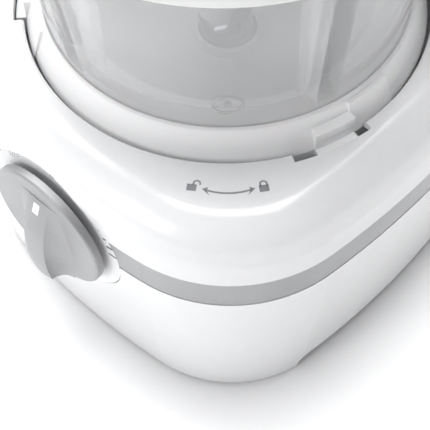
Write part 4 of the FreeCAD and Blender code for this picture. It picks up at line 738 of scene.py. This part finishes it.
@dataclass
class DialMarks:
    """The marks printed round the dial plate: off ring, steam cloud and speed bars."""

    palette: Palette
    face: float
    centre: float
    outer: float
    inner: float
    film: float = 0.06 * MM
    ring_angle: float = 85.6
    ring_radius: float = 1.35 * MM
    ring_stroke: float = 0.5 * MM
    cloud_angle: float = 130.0
    bars_first: float = 51.0
    bars_sweep: float = -42.0
    bar_count: int = 6

    @property
    def middle(self) -> float:
        """The radius halfway across the plate's free ring."""
        return (self.outer + self.inner) / 2

    def place(self, u: float, v: float, w: float) -> Vector:
        """Maps local across, up and out to the plate's face."""
        return Vector((u, self.face - w, self.centre + v))

    def off_ring(self) -> bpy.types.Object:
        """The small ring that marks the off position."""
        turn = math.radians(self.ring_angle)
        middle = (self.middle * math.cos(turn), self.middle * math.sin(turn))
        halves = [band(self.ring_radius, self.ring_stroke, start, start + 180.0, 16, middle)
                  for start in (0.0, 180.0)]
        return prisms("off_mark", halves, self.place, self.film, self.palette["dial_ink"])

    def cloud(self) -> bpy.types.Object:
        """The steam mark: an even scatter of dots over an oval."""
        nodes = GeometryTree("SteamDots")
        width = nodes.number("Cloud Width", 9.5 * MM)
        height = nodes.number("Cloud Height", 3.6 * MM)
        dot = nodes.number("Dot Radius", 0.3 * MM)
        pitch = nodes.number("Dot Pitch", 0.95 * MM)
        seed = nodes.number("Seed", 4)
        film = nodes.number("Film", self.film)
        sheet = nodes.add("GeometryNodeMeshCircle", {"fill_type": "NGON"}, {"Vertices": 24, "Radius": 0.5})
        cloud = nodes.add("GeometryNodeTransform", None,
                          {"Geometry": sheet, "Scale": nodes.vector(width, height, 1.0)})
        dots = nodes.add("GeometryNodeDistributePointsOnFaces", {"distribute_method": "POISSON"},
                         {"Mesh": cloud, "Distance Min": pitch, "Density Max": 4e6, "Seed": seed}, "Points")
        disc = nodes.add("GeometryNodeMeshCylinder", {"fill_type": "NGON"},
                         {"Vertices": 12, "Radius": dot, "Depth": film}, "Mesh")
        spread = nodes.add("GeometryNodeInstanceOnPoints", None, {"Points": dots, "Instance": disc})
        turn = math.radians(self.cloud_angle)

        def place(u: float, v: float, w: float) -> Vector:
            """Bends the cloud along the plate's free ring."""
            angle = turn - u / self.middle
            reach = self.middle + v
            return self.place(reach * math.cos(angle), reach * math.sin(angle), w)

        return nodes.bake(spread, self.palette["dial_ink"], "steam_mark", place)

    def bars(self) -> bpy.types.Object:
        """The speed bars, each longer than the last."""
        nodes = GeometryTree("SpeedBars")
        count = nodes.number("Count", self.bar_count)
        first = nodes.number("First Angle", math.radians(self.bars_first))
        sweep = nodes.number("Sweep", math.radians(self.bars_sweep))
        radius = nodes.number("Radius", self.middle)
        width = nodes.number("Bar Width", 1.0 * MM)
        length = nodes.number("Bar Length", 4.2 * MM)
        film = nodes.number("Film", self.film)
        index = nodes.add("GeometryNodeInputIndex")
        share = nodes.maths("DIVIDE", index, nodes.maths("SUBTRACT", count, 1.0))
        angle = nodes.maths("ADD", first, nodes.maths("MULTIPLY", share, sweep))
        spot = nodes.vector(nodes.maths("MULTIPLY", radius, nodes.maths("COSINE", angle)),
                            nodes.maths("MULTIPLY", radius, nodes.maths("SINE", angle)))
        points = nodes.add("GeometryNodePoints", None, {"Count": count, "Position": spot})
        bar = nodes.tablet(length, width, film, 0.2 * MM)
        grown = nodes.maths("ADD", 0.4, nodes.maths("MULTIPLY", share, 0.6))
        turned = nodes.add("FunctionNodeEulerToRotation", None, {"Euler": nodes.vector(z=angle)})
        row = nodes.add("GeometryNodeInstanceOnPoints", None,
                        {"Points": points, "Instance": bar, "Rotation": turned,
                         "Scale": nodes.vector(grown, 1.0, 1.0)})
        return nodes.bake(row, self.palette["dial_ink"], "speed_mark", self.place)

    def build(self) -> None:
        """Prints the marks."""
        for piece in (self.off_ring(), self.cloud(), self.bars()):
            settle(piece, "base")


@dataclass
class JugDetails:
    """Details moulded into the jug: the gate mark and the level lines."""

    palette: Palette
    axis: Vector
    bottom: float
    rim: float
    foot_radius: float = 71.1 * MM
    rim_radius: float = 79.6 * MM
    wall: float = 2.6 * MM
    floor_thickness: float = 3.2 * MM
    rim_thickness: float = 3.4 * MM
    gate_angle: float = -47.5
    gate_height: float = 10.0 * MM
    gate_lean: float = 0.12
    levels_angle: float = 100.0
    levels_height: float = 18.0 * MM

    @property
    def floor(self) -> float:
        """The height of the jug's inside floor."""
        return self.bottom + self.floor_thickness

    def inner_radius(self, z: float) -> float:
        """The jug's inside radius at a height."""
        share = (z - self.bottom) / (self.rim - self.rim_thickness - self.bottom)
        return self.foot_radius + (self.rim_radius - self.foot_radius) * share - self.wall

    def gate_mark(self) -> bpy.types.Object:
        """The round witness mark with its nub, low inside the jug."""
        z = self.floor + self.gate_height
        turn = math.radians(self.gate_angle)
        reach = self.inner_radius(z)
        inward = Vector((-math.cos(turn), -math.sin(turn), self.gate_lean)).normalized()
        across = Vector((-math.sin(turn), math.cos(turn), 0.0))
        upward = across.cross(inward)
        seat = self.axis + Vector((math.cos(turn) * reach, math.sin(turn) * reach, z))

        def place(u: float, v: float, w: float) -> Vector:
            """Maps across, up and inward to the wall."""
            return seat + across * u + upward * v + inward * w

        profile = [(5.1, -0.4), (5.9, -0.4), (5.9, 0.25), (5.7, 0.45), (5.3, 0.45), (5.1, 0.25)]
        ring = lathe("gate_mark", [(r * MM, w * MM) for r, w in profile], 40, self.palette["jug_witness"])
        nub_profile = [(0.05, -0.4), (1.4, -0.4), (1.3, 0.7), (1.0, 1.0), (0.05, 1.1)]
        nub = lathe("gate_nub", [(r * MM, w * MM) for r, w in nub_profile], 20, self.palette["jug_witness"])
        for piece in (ring, nub):
            for vertex in piece.data.vertices:
                vertex.co = place(*vertex.co)
        settle(nub, "bowl")
        return ring

    def level_lines(self) -> bpy.types.Object:
        """Raised level lines up the inside of the jug, every second one longer."""
        nodes = GeometryTree("LevelLines")
        count = nodes.number("Count", 7)
        pitch = nodes.number("Pitch", 7.0 * MM)
        long_line = nodes.number("Long Line", 12.0 * MM)
        width = nodes.number("Line Width", 0.8 * MM)
        rise = nodes.number("Rise", 0.5 * MM)
        index = nodes.add("GeometryNodeInputIndex")
        spot = nodes.vector(0.0, nodes.maths("MULTIPLY", index, pitch))
        points = nodes.add("GeometryNodePoints", None, {"Count": count, "Position": spot})
        line = nodes.tablet(long_line, width, rise, 0.25 * MM)
        short = nodes.maths("SUBTRACT", 1.0, nodes.maths("MULTIPLY", 0.4, nodes.maths("MODULO", index, 2.0)))
        column = nodes.add("GeometryNodeInstanceOnPoints", None,
                           {"Points": points, "Instance": line, "Scale": nodes.vector(short, 1.0, 1.0)})
        base = self.floor + self.levels_height
        middle = math.radians(self.levels_angle)

        def place(u: float, v: float, w: float) -> Vector:
            """Wraps the column round the inside wall."""
            z = base + v
            reach = self.inner_radius(z) - w
            turn = middle + u / reach
            return self.axis + Vector((reach * math.cos(turn), reach * math.sin(turn), z))

        return nodes.bake(column, self.palette["jug_clear"], "jug_levels", place)

    def build(self) -> None:
        """Adds the jug's details."""
        settle(self.gate_mark(), "bowl")
        settle(self.level_lines(), "bowl")


@dataclass
class CapDetails:
    """Finger ribs round the lid cap's raised grip."""

    palette: Palette
    axis: Vector
    cap_top: float
    radius: float = 15.7 * MM
    below: tuple[float, float] = (4.2 * MM, 1.4 * MM)
    count: int = 36

    def build(self) -> None:
        """Adds the ribs."""
        bottom, top = (self.cap_top - below for below in self.below)
        nodes = GeometryTree("CapRibs")
        count = nodes.number("Count", self.count)
        radius = nodes.number("Radius", self.radius)
        height = nodes.number("Height", top - bottom)
        width = nodes.number("Rib Width", 1.1 * MM)
        depth = nodes.number("Rib Depth", 0.9 * MM)
        index = nodes.add("GeometryNodeInputIndex")
        angle = nodes.maths("MULTIPLY", nodes.maths("DIVIDE", index, count), 2.0 * math.pi)
        spot = nodes.vector(nodes.maths("MULTIPLY", radius, nodes.maths("COSINE", angle)),
                            nodes.maths("MULTIPLY", radius, nodes.maths("SINE", angle)),
                            (top + bottom) / 2)
        points = nodes.add("GeometryNodePoints", None, {"Count": count, "Position": spot})
        rib = nodes.tablet(depth, width, height, 0.3 * MM)
        turned = nodes.add("FunctionNodeEulerToRotation", None, {"Euler": nodes.vector(z=angle)})
        ring = nodes.add("GeometryNodeInstanceOnPoints", None,
                         {"Points": points, "Instance": rib, "Rotation": turned})
        place: Placer = lambda u, v, w: self.axis + Vector((u, v, w))
        settle(nodes.bake(ring, self.palette["gloss_white"], "cap_ribs", place), "cap")


# ---- studio ---------------------------------------------------------------------------------
@dataclass
class Studio:
    """The floor, the soft lights and the camera."""

    axis: Vector
    eye_offset: tuple[float, float, float] = (0.22077, -0.23742, 0.48241)
    target_offset: tuple[float, float, float] = (0.0086, -0.0200, 0.0)
    lamp_aim: tuple[float, float, float] = (0.0, 0.0, 0.08)
    roll: float = -2.0
    lens: float = 100.47
    bright_side: tuple[float, float, float] = (-0.7, -0.25, 0.65)
    bright: float = 0.58
    dim: float = 0.14

    def floor(self) -> None:
        """A wide pale floor."""
        graph = ShaderGraph("studio_floor")
        soft = graph.noise(graph.place(), 0.3, 2.0)
        fine = graph.noise(graph.place(), 0.002, 2.0)
        values = {"Base Color": graph.blend(soft, (0.97, 0.97, 0.972), (0.95, 0.95, 0.953)),
                  "Roughness": 0.7 + 0.06 * soft, "Normal": graph.bump(fine, 0.00002)}
        paint = graph.finish(graph.node("ShaderNodeBsdfPrincipled", None, values))
        work = bmesh.new()
        bmesh.ops.create_grid(work, x_segments=8, y_segments=8, size=3.0)
        mesh = bpy.data.meshes.new("floor")
        work.to_mesh(mesh)
        work.free()
        mesh.materials.append(paint)
        floor = bpy.data.objects.new("floor", mesh)
        floor.location = (0.0, 0.0, -0.0002)
        bpy.context.scene.collection.objects.link(floor)

    def lamp(self, name: str, place: Sequence[float], size: float, power: float) -> None:
        """A soft square light aimed at the object.

        Args:
            name: The light's name.
            place: Where it hangs.
            size: Its side in metres.
            power: Its power in watts.
        """
        data = bpy.data.lights.new(name, "AREA")
        data.shape = "SQUARE"
        data.size = size
        data.energy = power
        lamp = bpy.data.objects.new(name, data)
        lamp.location = Vector(place)
        aim = Vector(self.lamp_aim) - lamp.location
        lamp.rotation_euler = aim.to_track_quat("-Z", "Y").to_euler()
        bpy.context.scene.collection.objects.link(lamp)

    def world(self) -> None:
        """A pale surround that is brighter on one side."""
        world = bpy.data.worlds.new("surround")
        world.use_nodes = True
        tree = world.node_tree
        shade = tree.nodes["Background"]
        shade.inputs["Color"].default_value = (0.98, 0.985, 1.0, 1.0)
        towards = tree.nodes.new("ShaderNodeTexCoord")
        lit = tree.nodes.new("ShaderNodeVectorMath")
        lit.operation = "DOT_PRODUCT"
        lit.inputs[1].default_value = self.bright_side
        span = tree.nodes.new("ShaderNodeMapRange")
        span.interpolation_type = "SMOOTHSTEP"
        limits = {"From Min": -0.75, "From Max": 0.55, "To Min": self.dim, "To Max": self.bright}
        for name, value in limits.items():
            span.inputs[name].default_value = value
        tree.links.new(towards.outputs["Generated"], lit.inputs[0])
        tree.links.new(lit.outputs["Value"], span.inputs["Value"])
        tree.links.new(span.outputs["Result"], shade.inputs["Strength"])
        bpy.context.scene.world = world

    def camera(self) -> None:
        """The camera, rolled slightly about its line of sight."""
        data = bpy.data.cameras.new("camera")
        data.lens = self.lens
        data.sensor_width = 36.0
        data.clip_start = 0.01
        camera = bpy.data.objects.new("camera", data)
        eye = self.axis + Vector(self.eye_offset)
        back = (eye - self.axis - Vector(self.target_offset)).normalized()
        right = Vector((0.0, 0.0, 1.0)).cross(back).normalized()
        up = back.cross(right)
        turn = math.radians(self.roll)
        x_axis = right * math.cos(turn) + up * math.sin(turn)
        y_axis = up * math.cos(turn) - right * math.sin(turn)
        frame = Matrix((x_axis, y_axis, back)).transposed().to_4x4()
        camera.matrix_world = Matrix.Translation(eye) @ frame
        bpy.context.scene.collection.objects.link(camera)
        bpy.context.scene.camera = camera

    def build(self) -> None:
        """Sets up the whole studio."""
        self.floor()
        self.world()
        self.lamp("key", (-1.2, 0.1, 1.6), 1.1, 17.0)
        self.lamp("overhead", (-0.2, 0.3, 2.1), 1.3, 44.0)
        self.lamp("front", (-0.2, -1.6, 0.9), 0.8, 7.0)
        self.camera()
        bpy.context.scene.view_settings.view_transform = "Standard"


def main() -> None:
    """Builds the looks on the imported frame."""
    logging.basicConfig(level=logging.INFO, format="%(name)s %(message)s")
    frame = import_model()
    palette = Palette()
    palette.dress(frame["nodes"])
    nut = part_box("blade_nut")
    axis = Vector(((nut[0].x + nut[1].x) / 2, (nut[0].y + nut[1].y) / 2, 0.0))
    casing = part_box("upper_casing")
    LockMarks(palette, axis, casing[1].z).build()
    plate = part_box("dial_plate")
    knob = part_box("control_knob")
    DialMarks(palette, plate[0].y, (plate[0].z + plate[1].z) / 2, plate[1].x, knob[1].x).build()
    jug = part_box("jug")
    JugDetails(palette, axis, jug[0].z, jug[1].z).build()
    CapDetails(palette, axis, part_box("lid_cap")[1].z).build()
    Studio(axis).build()


if __name__ == "__main__":
    main()
